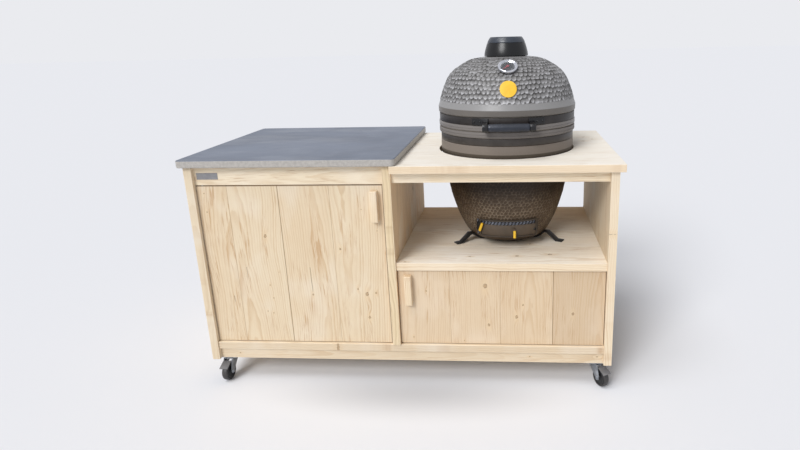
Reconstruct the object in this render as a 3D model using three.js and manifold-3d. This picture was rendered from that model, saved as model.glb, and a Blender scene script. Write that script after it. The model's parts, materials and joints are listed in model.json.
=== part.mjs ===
// Kamado grill in a wheeled table of spruce boards, with a stone worktop over a cupboard.
// Millimetres, +Z up. The origin is on the floor, under the centre of the two worktops.
// Positions below are measured from the left end of the carcase, from the front edges
// of its side panels and from their undersides, and the last lines move it all into place.
import * as THREE from 'three';
import { mergeVertices } from 'three/addons/utils/BufferGeometryUtils.js';
import Module from 'manifold-3d';

const wasm = await Module();
wasm.setup();

// Table
const WIDTH = 1600;
const DEPTH = 760;
const HEIGHT = 800;
const BOARD = 30;
const THIN_BOARD = 28;
const BACK_BOARD = 18;
const DIVIDER_X = 748;
const FRONT_RECESS = 17;
const SHELF_RECESS = 6;
const PLINTH_HEIGHT = 46;
const SHELF_Z = 390;
const LEFT_RAIL_Z = 727;
const RIGHT_RAIL_Z = 731;
const PLANK = 190;
const GROOVE = 1.2;
const WOOD_TOP = { left: 778, right: 1618, front: -18, back: 752 };
const STONE_TOP = { left: -18, right: 800, front: -20, back: 780, corner: 14 };
const TOP_THICKNESS = 28;

// Doors
const DOOR_GAP = 2.5;
const PIVOT_INSET = 20;
const PIVOT_DEPTH = 9;
const PIVOT_RADIUS = 4;
const LEFT_SEAMS = [149, 344, 540];
const RIGHT_SEAMS = [979, 1172, 1373];
const PULL = { width: 26, height: 120, depth: 26, ease: 2 };

// Grill, round its own axis
const AXIS_X = 1198;
const AXIS_Y = 367;
const GRILL_TURN = 2;
const HOLE_RADIUS = 277;
const HOLE_SHIFT = -3;
const FACETS = 32;
const CLEAR = 0.3;
const SPLIT_Z = 901.3;
const PORT = { half: 27, low: 486, high: 530 };
const DRAFT_WINDOW = { half: 29.5, low: 479, high: 538 };
const DRAFT_FRAME = { inner: 165, outer: 222, half: 31.5, low: 474, high: 543 };
const DRAFT_TRACK = { low: 476, high: 540 };
const SCREEN = { radius: 212, thickness: 1.5 };
const SLIDER = { radius: 216, thickness: 2, top: 523 };
const HINGE_Y = 316;
const HINGE_Z = 900;
const GRIP = { radius: 15, half: 75.7, y: -311, z: 922 };
const THERMOMETER_PLACE = 0.557;
const POINTER_COLD = THREE.MathUtils.degToRad(135);

// Casters
const CASTER_HEIGHT = 100;
const CASTER_INSET = 50;
const WHEEL_RADIUS = 37.5;
const WHEEL_WIDTH = 27;
const WHEEL_FACETS = 16;
const TRAIL = 30;

const spruce = { color: 0xe6d2ac, roughness: 0.72, metalness: 0 };
const paleSpruce = { color: 0xeee2c9, roughness: 0.7, metalness: 0 };
const stone = { color: 0x858c97, roughness: 0.55, metalness: 0 };
const glaze = { color: 0x8f8b83, roughness: 0.5, metalness: 0 };
const darkGlaze = { color: 0x6f655a, roughness: 0.5, metalness: 0 };
const fireclay = { color: 0xc9b699, roughness: 0.9, metalness: 0 };
const bandSteel = { color: 0x4a443f, roughness: 0.45, metalness: 0.6 };
const blackSteel = { color: 0x1c1a19, roughness: 0.5, metalness: 0.5 };
const zinc = { color: 0xb4bac0, roughness: 0.35, metalness: 0.9 };
const chrome = { color: 0xd7d9dc, roughness: 0.12, metalness: 1 };
const steel = { color: 0x77777a, roughness: 0.3, metalness: 0.95 };
const castIron = { color: 0x17191c, roughness: 0.38, metalness: 0.5 };
const felt = { color: 0x8b8378, roughness: 0.98, metalness: 0 };
const blackPlastic = { color: 0x26272b, roughness: 0.5, metalness: 0 };
const tyre = { color: 0x1b1a1b, roughness: 0.65, metalness: 0 };
const pointerRed = { color: 0x7e1a2a, roughness: 0.5, metalness: 0 };

const table = new THREE.Group();
table.position.set(-WIDTH / 2, -(STONE_TOP.front + STONE_TOP.back) / 2, CASTER_HEIGHT);
const grill = new THREE.Group();
grill.position.set(AXIS_X, AXIS_Y, 0);
grill.rotation.z = THREE.MathUtils.degToRad(GRILL_TURN);
table.add(grill);

// Merges a geometry's vertices and turns its faces outwards.
function closed(geometry) {
  const bare = geometry.clone();
  bare.deleteAttribute('normal');
  bare.deleteAttribute('uv');
  const merged = mergeVertices(bare, 1e-4);
  const position = merged.attributes.position.array;
  const index = merged.index.array;
  const kept = [];
  let volume = 0;
  const corner = (i) => new THREE.Vector3().fromArray(position, index[i] * 3);
  for (let i = 0; i < index.length; i += 3) {
    if (index[i] === index[i + 1] || index[i + 1] === index[i + 2] || index[i] === index[i + 2]) continue;
    kept.push(index[i], index[i + 1], index[i + 2]);
    volume += corner(i).dot(corner(i + 1).cross(corner(i + 2)));
  }
  if (volume < 0) {
    for (let i = 0; i < kept.length; i += 3) {
      [kept[i], kept[i + 1]] = [kept[i + 1], kept[i]];
    }
  }
  merged.setIndex(kept);
  merged.computeVertexNormals();
  return merged;
}

function toSolid(geometry) {
  const clean = closed(geometry);
  return new wasm.Manifold(new wasm.Mesh({
    numProp: 3,
    vertProperties: new Float32Array(clean.attributes.position.array),
    triVerts: new Uint32Array(clean.index.array),
  }));
}

function toGeometry(solid) {
  const mesh = solid.getMesh();
  const geometry = new THREE.BufferGeometry();
  geometry.setAttribute('position', new THREE.BufferAttribute(mesh.vertProperties, 3));
  geometry.setIndex(new THREE.BufferAttribute(mesh.triVerts, 1));
  geometry.computeVertexNormals();
  return geometry;
}

function cut(geometry, ...tools) {
  return toGeometry(tools.reduce((solid, tool) => solid.subtract(toSolid(tool)), toSolid(geometry)));
}

function join(geometry, ...others) {
  return toGeometry(others.reduce((solid, other) => solid.add(toSolid(other)), toSolid(geometry)));
}

function place(parent, name, geometry, look) {
  const mesh = new THREE.Mesh(closed(geometry), new THREE.MeshStandardMaterial(look));
  mesh.name = name;
  parent.add(mesh);
  return mesh;
}

// A box between two corners.
function box(low, high) {
  const size = high.map((value, i) => value - low[i]);
  const geometry = new THREE.BoxGeometry(...size);
  geometry.translate(...low.map((value, i) => value + size[i] / 2));
  return geometry;
}

function outline(points) {
  return new THREE.Shape(points.map(([x, y]) => new THREE.Vector2(x, y)));
}

function prism(shape, low, high, segments = 6) {
  const geometry = new THREE.ExtrudeGeometry(shape, {
    depth: high - low,
    bevelEnabled: false,
    curveSegments: segments,
  });
  geometry.translate(0, 0, low);
  return geometry;
}

// A prism drawn in the Y-Z plane and extruded along X.
function sidePrism(points, low, high) {
  const geometry = prism(outline(points), low, high);
  const axes = new THREE.Matrix4().set(0, 0, 1, 0, 1, 0, 0, 0, 0, 1, 0, 0, 0, 0, 0, 1);
  return geometry.applyMatrix4(axes);
}

// A body of revolution round Z. A profile that leaves the axis closes on itself.
function revolve(profile, segments = FACETS) {
  const points = profile.map(([r, z]) => new THREE.Vector2(r, z));
  if (profile[0][0] > 0) points.push(points[0].clone());
  const geometry = new THREE.LatheGeometry(points, segments);
  return geometry.rotateX(Math.PI / 2);
}

// A ring sector between two radii. Angles run from the front, positive to the right.
function arcBlock(inner, outer, fromDeg, toDeg, low, high, segments = 12) {
  const from = THREE.MathUtils.degToRad(fromDeg - 90);
  const to = THREE.MathUtils.degToRad(toDeg - 90);
  const shape = new THREE.Shape();
  shape.absarc(0, 0, outer, from, to, false);
  shape.absarc(0, 0, inner, to, from, true);
  shape.closePath();
  return prism(shape, low, high, segments);
}

function curvePoints(keys, count) {
  const curve = new THREE.SplineCurve(keys.map(([r, z]) => new THREE.Vector2(r, z)));
  return curve.getPoints(count).map((point) => [point.x, point.y]);
}

// A bar along X.
function barX(radius, length, segments) {
  return new THREE.CylinderGeometry(radius, radius, length, segments).rotateZ(Math.PI / 2);
}

// A panel of glued planks, with a fine V along each seam on both faces.
// grain and across are axis numbers; seams are positions on the across axis.
function plankPanel(low, high, grain, across, seams) {
  const flat = 3 - grain - across;
  const width = high[across] - low[across];
  const thickness = high[flat] - low[flat];
  const points = [[0, 0]];
  const cuts = seams.map((seam) => seam - low[across]);
  for (const u of cuts) points.push([u - GROOVE, 0], [u, GROOVE], [u + GROOVE, 0]);
  points.push([width, 0], [width, thickness]);
  for (const u of [...cuts].reverse()) {
    points.push([u + GROOVE, thickness], [u, thickness - GROOVE], [u - GROOVE, thickness]);
  }
  points.push([0, thickness]);
  const geometry = prism(outline(points), 0, high[grain] - low[grain]);
  const axis = [0, 1, 2].map((i) => new THREE.Vector3().setComponent(i, 1));
  const turned = axis[across].clone().cross(axis[flat]).dot(axis[grain]) < 0;
  const corner = [...low];
  if (turned) corner[flat] = high[flat];
  const basis = new THREE.Matrix4().makeBasis(
    axis[across],
    axis[flat].clone().multiplyScalar(turned ? -1 : 1),
    axis[grain],
  );
  basis.setPosition(...corner);
  return geometry.applyMatrix4(basis);
}

function seamsBetween(from, to) {
  const count = Math.round((to - from) / PLANK);
  return Array.from({ length: count - 1 }, (_, i) => from + ((i + 1) * (to - from)) / count);
}

function pegHole(x, y, low, high, radius = PIVOT_RADIUS + CLEAR, sides = 12) {
  const geometry = new THREE.CylinderGeometry(radius, radius, high - low, sides);
  return geometry.rotateX(Math.PI / 2).translate(x, y, (low + high) / 2);
}

const floorZ = PLINTH_HEIGHT + BOARD;
const bayLeft = DIVIDER_X + BOARD;
const bayRight = WIDTH - BOARD;
const shelfTop = SHELF_Z + BOARD;
const woodTopZ = HEIGHT - TOP_THICKNESS;
const leftPivot = BOARD + DOOR_GAP + PIVOT_INSET;
const rightPivot = WIDTH - BOARD - DOOR_GAP - PIVOT_INSET;
const pivotY = FRONT_RECESS + PIVOT_DEPTH;

function addCarcase() {
  const sideSeams = seamsBetween(0, DEPTH);
  const upright = (left, low, high) =>
    plankPanel([left, 0, low], [left + BOARD, DEPTH, high], 2, 1, sideSeams);
  place(table, 'left_side_panel', upright(0, 0, HEIGHT), spruce);
  place(table, 'right_side_panel', upright(bayRight, 0, woodTopZ), spruce);
  place(table, 'divider_panel', upright(DIVIDER_X, floorZ, HEIGHT), spruce);

  const middle = DIVIDER_X + BOARD / 2;
  const bottomSeams = seamsBetween(SHELF_RECESS, DEPTH);
  const bottom = (left, right, peg) => cut(
    plankPanel([left, SHELF_RECESS, PLINTH_HEIGHT], [right, DEPTH, floorZ], 0, 1, bottomSeams),
    pegHole(peg, pivotY, floorZ - 12, floorZ + 1),
  );
  place(table, 'left_bottom_board', bottom(BOARD, middle, leftPivot), spruce);
  place(table, 'right_bottom_board', bottom(middle, bayRight, rightPivot), spruce);

  const shelf = cut(
    plankPanel([bayLeft, SHELF_RECESS, SHELF_Z], [bayRight, DEPTH, shelfTop], 0, 1, bottomSeams),
    pegHole(rightPivot, pivotY, SHELF_Z - 1, SHELF_Z + 12),
  );
  place(table, 'kamado_shelf', shelf, paleSpruce);
}

function addRails() {
  const front = FRONT_RECESS;
  const rear = front + THIN_BOARD;
  place(table, 'front_plinth', box([BOARD, front, 0], [bayRight, rear, PLINTH_HEIGHT]), spruce);

  // Boards across the underside at each end carry the casters.
  const runner = (left) => box([left, rear, 0], [left + 95, DEPTH, PLINTH_HEIGHT]);
  place(table, 'left_runner', runner(BOARD), spruce);
  place(table, 'right_runner', runner(bayRight - 95), spruce);

  const leftRail = cut(
    box([BOARD, front, LEFT_RAIL_Z], [DIVIDER_X, rear, HEIGHT]),
    pegHole(leftPivot, pivotY, LEFT_RAIL_Z - 1, LEFT_RAIL_Z + 12),
  );
  place(table, 'left_top_rail', leftRail, spruce);
  const bayRail = (y) => box([bayLeft, y, RIGHT_RAIL_Z], [bayRight, y + THIN_BOARD, woodTopZ]);
  place(table, 'right_top_rail', bayRail(front), spruce);
  place(table, 'right_back_rail', bayRail(DEPTH - THIN_BOARD), spruce);
}

function addBackPanels() {
  const back = (left, right, high) => plankPanel(
    [left, DEPTH - BACK_BOARD, floorZ],
    [right, DEPTH, high],
    2,
    0,
    seamsBetween(left, right),
  );
  place(table, 'left_back_panel', back(BOARD, DIVIDER_X, HEIGHT), spruce);
  place(table, 'right_back_panel', back(bayLeft, bayRight, SHELF_Z), spruce);
}

function addTops() {
  const wood = plankPanel(
    [WOOD_TOP.left, WOOD_TOP.front, woodTopZ],
    [WOOD_TOP.right, WOOD_TOP.back, HEIGHT],
    0,
    1,
    seamsBetween(WOOD_TOP.front, WOOD_TOP.back),
  );
  const holeX = AXIS_X + HOLE_SHIFT;
  const hole = pegHole(holeX, AXIS_Y, woodTopZ - 5, HEIGHT + 5, HOLE_RADIUS, 48);
  place(table, 'wood_top', cut(wood, hole), paleSpruce);

  const { left, right, front, back, corner } = STONE_TOP;
  const ease = 2.5;
  const shape = new THREE.Shape();
  const [l, r, f, b] = [left + ease, right - ease, front + ease, back - ease];
  shape.moveTo(l + corner, f);
  shape.lineTo(r - corner, f);
  shape.absarc(r - corner, f + corner, corner, -Math.PI / 2, 0, false);
  shape.lineTo(r, b - corner);
  shape.absarc(r - corner, b - corner, corner, 0, Math.PI / 2, false);
  shape.lineTo(l + corner, b);
  shape.absarc(l + corner, b - corner, corner, Math.PI / 2, Math.PI, false);
  shape.lineTo(l, f + corner);
  shape.absarc(l + corner, f + corner, corner, Math.PI, Math.PI * 1.5, false);
  const slab = new THREE.ExtrudeGeometry(shape, {
    depth: TOP_THICKNESS - 2 * ease,
    bevelThickness: ease,
    bevelSize: ease,
    bevelSegments: 1,
    curveSegments: 3,
  });
  place(table, 'stone_top', slab.translate(0, 0, HEIGHT + ease), stone);
}

// A door of upright planks, with two ledges across its back and a bore for its pivot rod.
function addDoor(side, left, right, high, seams, pivotX, pullX, pullZ, catchX) {
  const low = floorZ + 3;
  const front = FRONT_RECESS;
  const rear = front + THIN_BOARD;
  const planks = plankPanel([left, front, low], [right, rear, high], 2, 0, seams);
  const ledge = (z) => box([left + 60, rear - 2, z], [right - 60, rear + 20, z + 80]);
  const door = join(planks, ledge(low + 45), ledge(high - 125));
  place(table, `${side}_door`, cut(door, pegHole(pivotX, pivotY, low - 5, high + 5)), spruce);

  const rod = new THREE.CylinderGeometry(PIVOT_RADIUS, PIVOT_RADIUS, high - low + 20, 12);
  rod.rotateX(Math.PI / 2).translate(pivotX, pivotY, (low + high) / 2);
  place(table, `${side}_door_pivot_rod`, rod, zinc);

  const { width, height, depth, ease } = PULL;
  const [pullRight, pullTop] = [width - ease, height - ease];
  const face = outline([[ease, ease], [pullRight, ease], [pullRight, pullTop], [ease, pullTop]]);
  const pull = new THREE.ExtrudeGeometry(face, {
    depth: depth - ease,
    bevelThickness: ease,
    bevelSize: ease,
    bevelSegments: 1,
  });
  pull.rotateX(Math.PI / 2).translate(pullX, front, pullZ);
  place(table, `${side}_door_pull`, cut(pull, box([left, front, low], [right, rear, high])), spruce);

  const catchLow = [catchX, rear + CLEAR, high - 240];
  const catchHigh = [catchX + 16, rear + 40, high - 190];
  place(table, `${side}_door_catch`, box(catchLow, catchHigh), blackPlastic);
}

function addDoors() {
  const leftEdges = [BOARD + DOOR_GAP, DIVIDER_X - DOOR_GAP];
  const rightEdges = [bayLeft + DOOR_GAP, bayRight - DOOR_GAP];
  addDoor('left', ...leftEdges, LEFT_RAIL_Z - 3, LEFT_SEAMS, leftPivot, 698, 585, DIVIDER_X - 16);
  addDoor('right', ...rightEdges, SHELF_Z - 3, RIGHT_SEAMS, rightPivot, 808, 250, bayLeft);
}

const domeKeys = [
  [276.5, 978], [271, 993], [259, 1031], [244, 1070], [215, 1110], [155, 1148], [100, 1161], [66, 1165],
];
const bowlKeys = [
  [158, 444], [170, 456], [189, 490], [210, 538], [230, 600], [239.5, 641], [261.5, 750], [270, 810],
];
const domeInnerKeys = [
  [50, 1144], [95, 1140], [144, 1130], [188, 1108], [218, 1072], [238, 1030], [248, 985], [250, 925],
];
const bowlInnerWall = [[246, 870], [218, 641], [167, 490], [148, 457], [134, 447]];

function domeFrame() {
  const curve = new THREE.SplineCurve(domeKeys.map(([r, z]) => new THREE.Vector2(r, z)));
  const point = curve.getPointAt(THERMOMETER_PLACE);
  const tangent = curve.getTangentAt(THERMOMETER_PLACE);
  return { radius: point.x, z: point.y, tilt: Math.atan2(-tangent.x, tangent.y) };
}

function addDome() {
  const outer = [
    [272, SPLIT_Z], [275.5, 905], [275.5, 918], [270, 921.7], [270, 951.3], [276, 956],
    ...curvePoints(domeKeys, 8),
  ];
  const inner = curvePoints(domeInnerKeys, 6);
  const profile = [...outer, [66, 1190], [50, 1190], ...inner, [250, SPLIT_Z]];
  const seat = domeFrame();
  const bore = new THREE.CylinderGeometry(4, 4, 120, 12);
  bore.rotateX(Math.PI / 2).rotateX(Math.PI / 2 - seat.tilt).translate(0, -seat.radius, seat.z);
  place(grill, 'dome', cut(revolve(profile), bore), glaze);
  place(grill, 'upper_band', revolve([[270.3, 922], [273, 922], [273, 951], [270.3, 951]]), bandSteel);

  // Thermometer, its stem through the dome's wall
  const gauge = new THREE.Group();
  gauge.position.set(0, -seat.radius, seat.z);
  gauge.rotation.x = Math.PI / 2 - seat.tilt;
  grill.add(gauge);
  const body = [
    [0, -70], [3, -66], [3, 0.8], [33, 0.8], [37, 4], [37, 11], [34, 14], [30.5, 12.5], [30.5, 9], [0, 9],
  ];
  place(gauge, 'thermometer', revolve(body, 18), chrome);
  const needle = prism(outline([[-1, -9], [1, -9], [3, 0], [0.6, 25], [-0.6, 25], [-3, 0]]), 9.8, 11);
  place(gauge, 'thermometer_pointer', needle.rotateZ(POINTER_COLD), pointerRed);
}

function addVent() {
  const petals = [0, 72, 144, 216, 288].map((turn) => arcBlock(16, 44, turn - 15, turn + 15, 1200, 1225, 2));
  const body = revolve([
    [0, 1208], [52, 1208], [52, 1190.4], [67, 1190.4], [67, 1176], [80, 1165.8], [87, 1165.8],
    [76.5, 1212], [74.5, 1215], [0, 1215],
  ], 24);
  place(grill, 'vent_body', cut(body, ...petals), castIron);
  const closedPetals = petals.map((petal) => petal.clone().rotateZ(Math.PI / 5));
  const lid = revolve([
    [0, 1215.4], [74, 1215.4], [74, 1219], [61.5, 1238], [55, 1238], [55, 1222], [0, 1222],
  ], 24);
  place(grill, 'vent_lid', cut(lid, ...closedPetals), castIron);
}

function addHandle() {
  const half = GRIP.half;
  const grip = new THREE.LatheGeometry(
    [[0, -half], [12, -half], [14, -half + 4], [GRIP.radius, 0], [14, half - 4], [12, half], [0, half]]
      .map(([r, x]) => new THREE.Vector2(r, x)),
    16,
  );
  grip.rotateZ(-Math.PI / 2).translate(0, GRIP.y, GRIP.z);
  place(grill, 'handle_grip', grip, blackPlastic);
  const strap = arcBlock(273.4, 277.4, 15.5, 29, 925, 949, 4);
  const block = sidePrism([
    [-250, 927], [-250, 941], [-300, 938], [-322, 935], [-328, 928], [-328, 916],
    [-322, 909], [-300, 907], [-272, 914], [-267.5, 927],
  ], 76, 96);
  const arm = cut(block, revolve([[0, 920], [275, 920], [275, 955], [0, 955]]));
  const right = join(strap, arm);
  place(grill, 'handle_bracket_right', right, blackSteel);
  place(grill, 'handle_bracket_left', right.clone().scale(-1, 1, 1), blackSteel);
}

// Hinge at the back. Its torsion springs are inside the barrel.
function addHinge() {
  const pin = barX(5, 104, 16).translate(0, HINGE_Y, HINGE_Z);
  const ear = (x) => sidePrism([
    [271, 849], [271, 871], [286, 884], [HINGE_Y - 12, 909], [HINGE_Y, 914], [HINGE_Y + 12, 909],
    [HINGE_Y + 14, 898], [HINGE_Y + 8, 888], [300, 862], [284, 849],
  ], x, x + 5);
  const foot = box([-49, 269.4, 849], [49, 274.4, 871]);
  place(grill, 'hinge_base', join(foot, ear(-49), ear(44), pin), blackSteel);
  const barrel = barX(14, 80, 20).translate(0, HINGE_Y, HINGE_Z);
  const arm = (x) => sidePrism([
    [276, 926], [276, 947], [292, 944], [HINGE_Y + 8, 914], [HINGE_Y + 10, 905],
    [HINGE_Y - 6, 905], [290, 926],
  ], x, x + 6);
  const pad = box([-38, 273.4, 925], [38, 278.4, 948]);
  const bore = barX(5 + CLEAR, 120, 16).translate(0, HINGE_Y, HINGE_Z);
  place(grill, 'hinge_arm', cut(join(pad, arm(-36), arm(30), barrel), bore), blackSteel);
}

function bowlProfile(grow = 0) {
  const wall = curvePoints(bowlKeys, 8).map(([r, z]) => [r + grow, z]);
  return [[0, 429 - grow], [118 + grow, 429 - grow], [142 + grow, 434 - grow], ...wall];
}

function addBowl() {
  const profile = [
    ...bowlProfile(), [269.5, 843], [266, 846.7], [266, 873.3], [272, 876], [275, 880], [275, 894],
    [272, 898], [250, 898], ...bowlInnerWall, [0, 447],
  ];
  const port = arcBlock(120, 260, -PORT.half, PORT.half, PORT.low, PORT.high, 8);
  place(grill, 'bowl', cut(revolve(profile), port), darkGlaze);
  place(grill, 'lower_band', revolve([[266.3, 847], [269, 847], [269, 873], [266.3, 873]]), bandSteel);
  place(grill, 'gasket', revolve([[251, 898.3], [271, 898.3], [271, 901], [251, 901]]), felt);
}

// Frame of the air inlet, with a track for a mesh screen and one for a solid slider.
function addDraftDoor() {
  const { inner, outer, half, low, high } = DRAFT_FRAME;
  const block = arcBlock(inner, outer, -half, half, low, high, 7);
  const room = revolve([...bowlProfile(0.6), [0, 810]]);
  const { half: open } = DRAFT_WINDOW;
  const window = arcBlock(150, 230, -open, open, DRAFT_WINDOW.low, DRAFT_WINDOW.high, 6);
  const track = ({ radius, thickness }) => arcBlock(
    radius - CLEAR,
    radius + thickness + CLEAR,
    -half - 5,
    half + 5,
    DRAFT_TRACK.low,
    DRAFT_TRACK.high,
    7,
  );
  place(grill, 'draft_frame', cut(block, room, window, track(SCREEN), track(SLIDER)), bandSteel);

  const [bottom, top] = [DRAFT_TRACK.low + 0.5, DRAFT_TRACK.high - 0.5];
  const sheet = ({ radius, thickness }, from, to, upper, segments) =>
    arcBlock(radius, radius + thickness, from, to, bottom, upper, segments);

  // The solid plate is low, and fingers at its ends reach the upper track.
  const plate = sheet(SLIDER, -half, half, SLIDER.top, 9);
  const fingers = [[-half, -open], [open, half]].map(([from, to]) => sheet(SLIDER, from, to, top, 1));
  const lug = sidePrism([
    [-217, 514], [-231, 511], [-238, 500], [-238, 480], [-232, 478], [-229, 494], [-217, 498],
  ], -3, 3);
  const slider = join(plate, ...fingers, lug.rotateZ(THREE.MathUtils.degToRad(5.5)));
  place(grill, 'draft_slider', slider, bandSteel);

  // The screen's tab leaves it beside the frame and folds back over the frame's left post.
  const mesh = sheet(SCREEN, -half - 4.5, half, top, 9);
  const neck = arcBlock(SCREEN.radius, 227, -half - 2.5, -half - 1.5, 502, 530, 1);
  const tab = arcBlock(224.5, 227.5, -half - 2.5, -half + 3.5, 498, 532, 2);
  place(grill, 'draft_screen', join(mesh, neck, tab), steel);
}

// Ceramic and iron pieces inside the bowl
function addFirePieces() {
  const firebox = revolve([
    [98, 447.4], [114, 447.4], [138, 475], [159, 505], [171, 530], [185, 565], [208, 640], [218, 700],
    [202, 700], [155, 522], [126, 522], [120, 503], [100, 470],
  ], 22);
  const mouth = box([-60, -190, 462], [60, -80, 516]);
  place(grill, 'firebox', cut(firebox, mouth), fireclay);
  const ring = revolve([[202, 700.3], [220, 700.3], [234, 868], [216, 868]], 24);
  place(grill, 'fire_ring', ring, fireclay);

  const disc = new THREE.Shape();
  disc.absarc(0, 0, 138, 0, Math.PI * 2, false);
  for (let row = -3; row <= 3; row += 1) {
    const half = Math.sqrt(118 ** 2 - (row * 32) ** 2);
    disc.holes.push(new THREE.Path([
      new THREE.Vector2(-half, row * 32 - 7), new THREE.Vector2(-half, row * 32 + 7),
      new THREE.Vector2(half, row * 32 + 7), new THREE.Vector2(half, row * 32 - 7),
    ]));
  }
  const bridge = box([-7, -125, 522.8], [7, 125, 529.8]);
  place(grill, 'charcoal_grate', join(prism(disc, 522.4, 530.4, 16), bridge), castIron);

  const rim = revolve([[225, 868.4], [231, 868.4], [231, 874.4], [225, 874.4]], 32);
  const bars = [box([-227, -3, 868.9], [227, 3, 872])];
  for (let x = -195; x <= 195; x += 30) {
    const half = Math.sqrt(228 ** 2 - x ** 2);
    bars.push(box([x - 2, -half, 869.4], [x + 2, half, 873.4]));
  }
  place(grill, 'cooking_grate', join(rim, ...bars), steel);
}

// Low stand: a flat ring under the foot of the bowl, and three legs that follow the bowl
// outwards before they turn down to the shelf.
function addStand() {
  const ring = revolve([[100, 423], [118, 423], [118, 428.7], [100, 428.7]], 36);
  const leg = sidePrism([
    [-106, 428.7], [-118, 428.7], [-142.8, 433.2], [-159.3, 443], [-170.5, 455], [-174, 456],
    [-190, 456], [-230, 425], [-255, 425], [-255, shelfTop], [-227, shelfTop], [-187.5, 450.5],
    [-177, 450.5], [-163, 437.8], [-144.5, 427.6], [-120, 423], [-106, 423],
  ], -15, 15);
  const legs = [62, 182, 302].map((angle) => leg.clone().rotateZ(THREE.MathUtils.degToRad(angle)));
  place(grill, 'grill_stand', join(ring, ...legs), blackSteel);
}

// A caster in a group of its own: the swivel axis is the group's Z axis, under the plate's
// top face, and the wheel trails towards the group's +X.
function addCaster(corner, x, y, heading, braked) {
  const fixed = new THREE.Group();
  fixed.position.set(x, y, 0);
  table.add(fixed);
  const boss = revolve([[0, -2], [22, -2], [18, -9], [0, -9]], 12);
  const places = [[-30, -21], [-30, 21], [30, -21], [30, 21]];
  const bolts = places.map(([u, v]) => pegHole(u, v, -5, 2, 4, 6));
  const plate = join(box([-39, -30, -3], [39, 30, 0]), boss);
  place(fixed, `caster_${corner}_plate`, cut(plate, ...bolts), zinc);

  const swivel = new THREE.Group();
  swivel.position.set(x, y, 0);
  swivel.rotation.z = THREE.MathUtils.degToRad(heading);
  table.add(swivel);
  const axleZ = WHEEL_RADIUS - CASTER_HEIGHT;
  const side = new THREE.Shape();
  side.moveTo(-22, -9.4);
  side.lineTo(24, -9.4);
  side.lineTo(30, -16);
  side.lineTo(TRAIL + 10, axleZ + 8);
  side.absarc(TRAIL, axleZ, 10, 0.6, -2.4, true);
  side.lineTo(-22, -26);
  const cheek = (y) => prism(side, 0, 2.5, 4).rotateX(Math.PI / 2).translate(0, y, 0);
  const crown = box([-22, -18.5, -12.4], [24, 18.5, -9.4]);
  const bolt = (radius, length) =>
    new THREE.CylinderGeometry(radius, radius, length, 8).translate(TRAIL, 0, axleZ);
  const heads = cut(bolt(8, 44), box([0, -18, -100], [80, 18, 0]));
  const fork = join(crown, cheek(-16), cheek(18.5), bolt(5, 42), heads);
  place(swivel, `caster_${corner}_fork`, fork, zinc);

  // The tread's flats touch the wheel's circle, and one of them rests on the floor.
  const half = WHEEL_WIDTH / 2;
  const tread = WHEEL_RADIUS / Math.cos(Math.PI / WHEEL_FACETS);
  const wheel = new THREE.LatheGeometry(
    [
      [5.8, -14.5], [11, -14.5], [27, -half + 3], [33, -half], [tread, -half + 6],
      [tread, half - 6], [33, half], [27, half - 3], [11, 14.5], [5.8, 14.5], [5.8, -14.5],
    ].map(([r, w]) => new THREE.Vector2(r, w)),
    WHEEL_FACETS,
    Math.PI / WHEEL_FACETS,
  );
  place(swivel, `caster_${corner}_wheel`, wheel.translate(TRAIL, 0, axleZ), tyre);

  if (!braked) return;
  const pad = sidePrism([[-33, -16.3], [-69, -31.5], [-68, -35], [-32.5, -20]], -17, 17);
  const arm = (u) => sidePrism([
    [-8, -14.5], [-14, -13.5], [-42, -21.5], [-40, -25], [-12, -21.5], [-8, -19],
  ], u, u + 2.5);
  const pedal = join(pad, arm(-14.5), arm(12));
  place(swivel, `caster_${corner}_pedal`, pedal.rotateZ(Math.PI / 2), blackPlastic);
}

function addCasters() {
  const [left, right] = [CASTER_INSET, WIDTH - CASTER_INSET];
  const [front, back] = [CASTER_INSET, DEPTH - CASTER_INSET];
  addCaster('front_left', left, front, -92, true);
  addCaster('front_right', right, front, -60, true);
  addCaster('back_left', left, back, -75, false);
  addCaster('back_right', right, back, -110, false);
}

addCarcase();
addRails();
addBackPanels();
addTops();
addDoors();
addStand();
addBowl();
addDraftDoor();
addFirePieces();
addDome();
addVent();
addHandle();
addHinge();
addCasters();

const group = new THREE.Group();
group.add(table);
export default group;
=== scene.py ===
import json
import math
import bmesh
import bpy
from mathutils import Matrix, Vector, noise

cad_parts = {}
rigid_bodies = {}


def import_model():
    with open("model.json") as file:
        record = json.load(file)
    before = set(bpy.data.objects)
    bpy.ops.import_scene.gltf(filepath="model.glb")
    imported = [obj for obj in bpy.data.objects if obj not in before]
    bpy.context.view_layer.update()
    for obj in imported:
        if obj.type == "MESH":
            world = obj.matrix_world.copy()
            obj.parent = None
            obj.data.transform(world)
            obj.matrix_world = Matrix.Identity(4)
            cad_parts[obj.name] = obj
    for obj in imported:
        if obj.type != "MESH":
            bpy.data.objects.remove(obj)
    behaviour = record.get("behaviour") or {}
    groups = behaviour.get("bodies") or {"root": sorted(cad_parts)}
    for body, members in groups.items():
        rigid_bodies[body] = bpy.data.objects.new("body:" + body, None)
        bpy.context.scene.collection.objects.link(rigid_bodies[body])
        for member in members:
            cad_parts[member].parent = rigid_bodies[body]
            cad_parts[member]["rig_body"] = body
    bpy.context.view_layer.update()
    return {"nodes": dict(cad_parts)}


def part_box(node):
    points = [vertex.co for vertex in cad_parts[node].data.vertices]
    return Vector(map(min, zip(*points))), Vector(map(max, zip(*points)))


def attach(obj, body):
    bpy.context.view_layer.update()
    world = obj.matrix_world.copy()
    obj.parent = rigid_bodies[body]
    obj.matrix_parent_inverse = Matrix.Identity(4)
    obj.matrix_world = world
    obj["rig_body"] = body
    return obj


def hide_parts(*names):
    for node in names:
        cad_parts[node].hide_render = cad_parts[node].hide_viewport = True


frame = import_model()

print("loaded", len(frame["nodes"]), "nodes")

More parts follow.
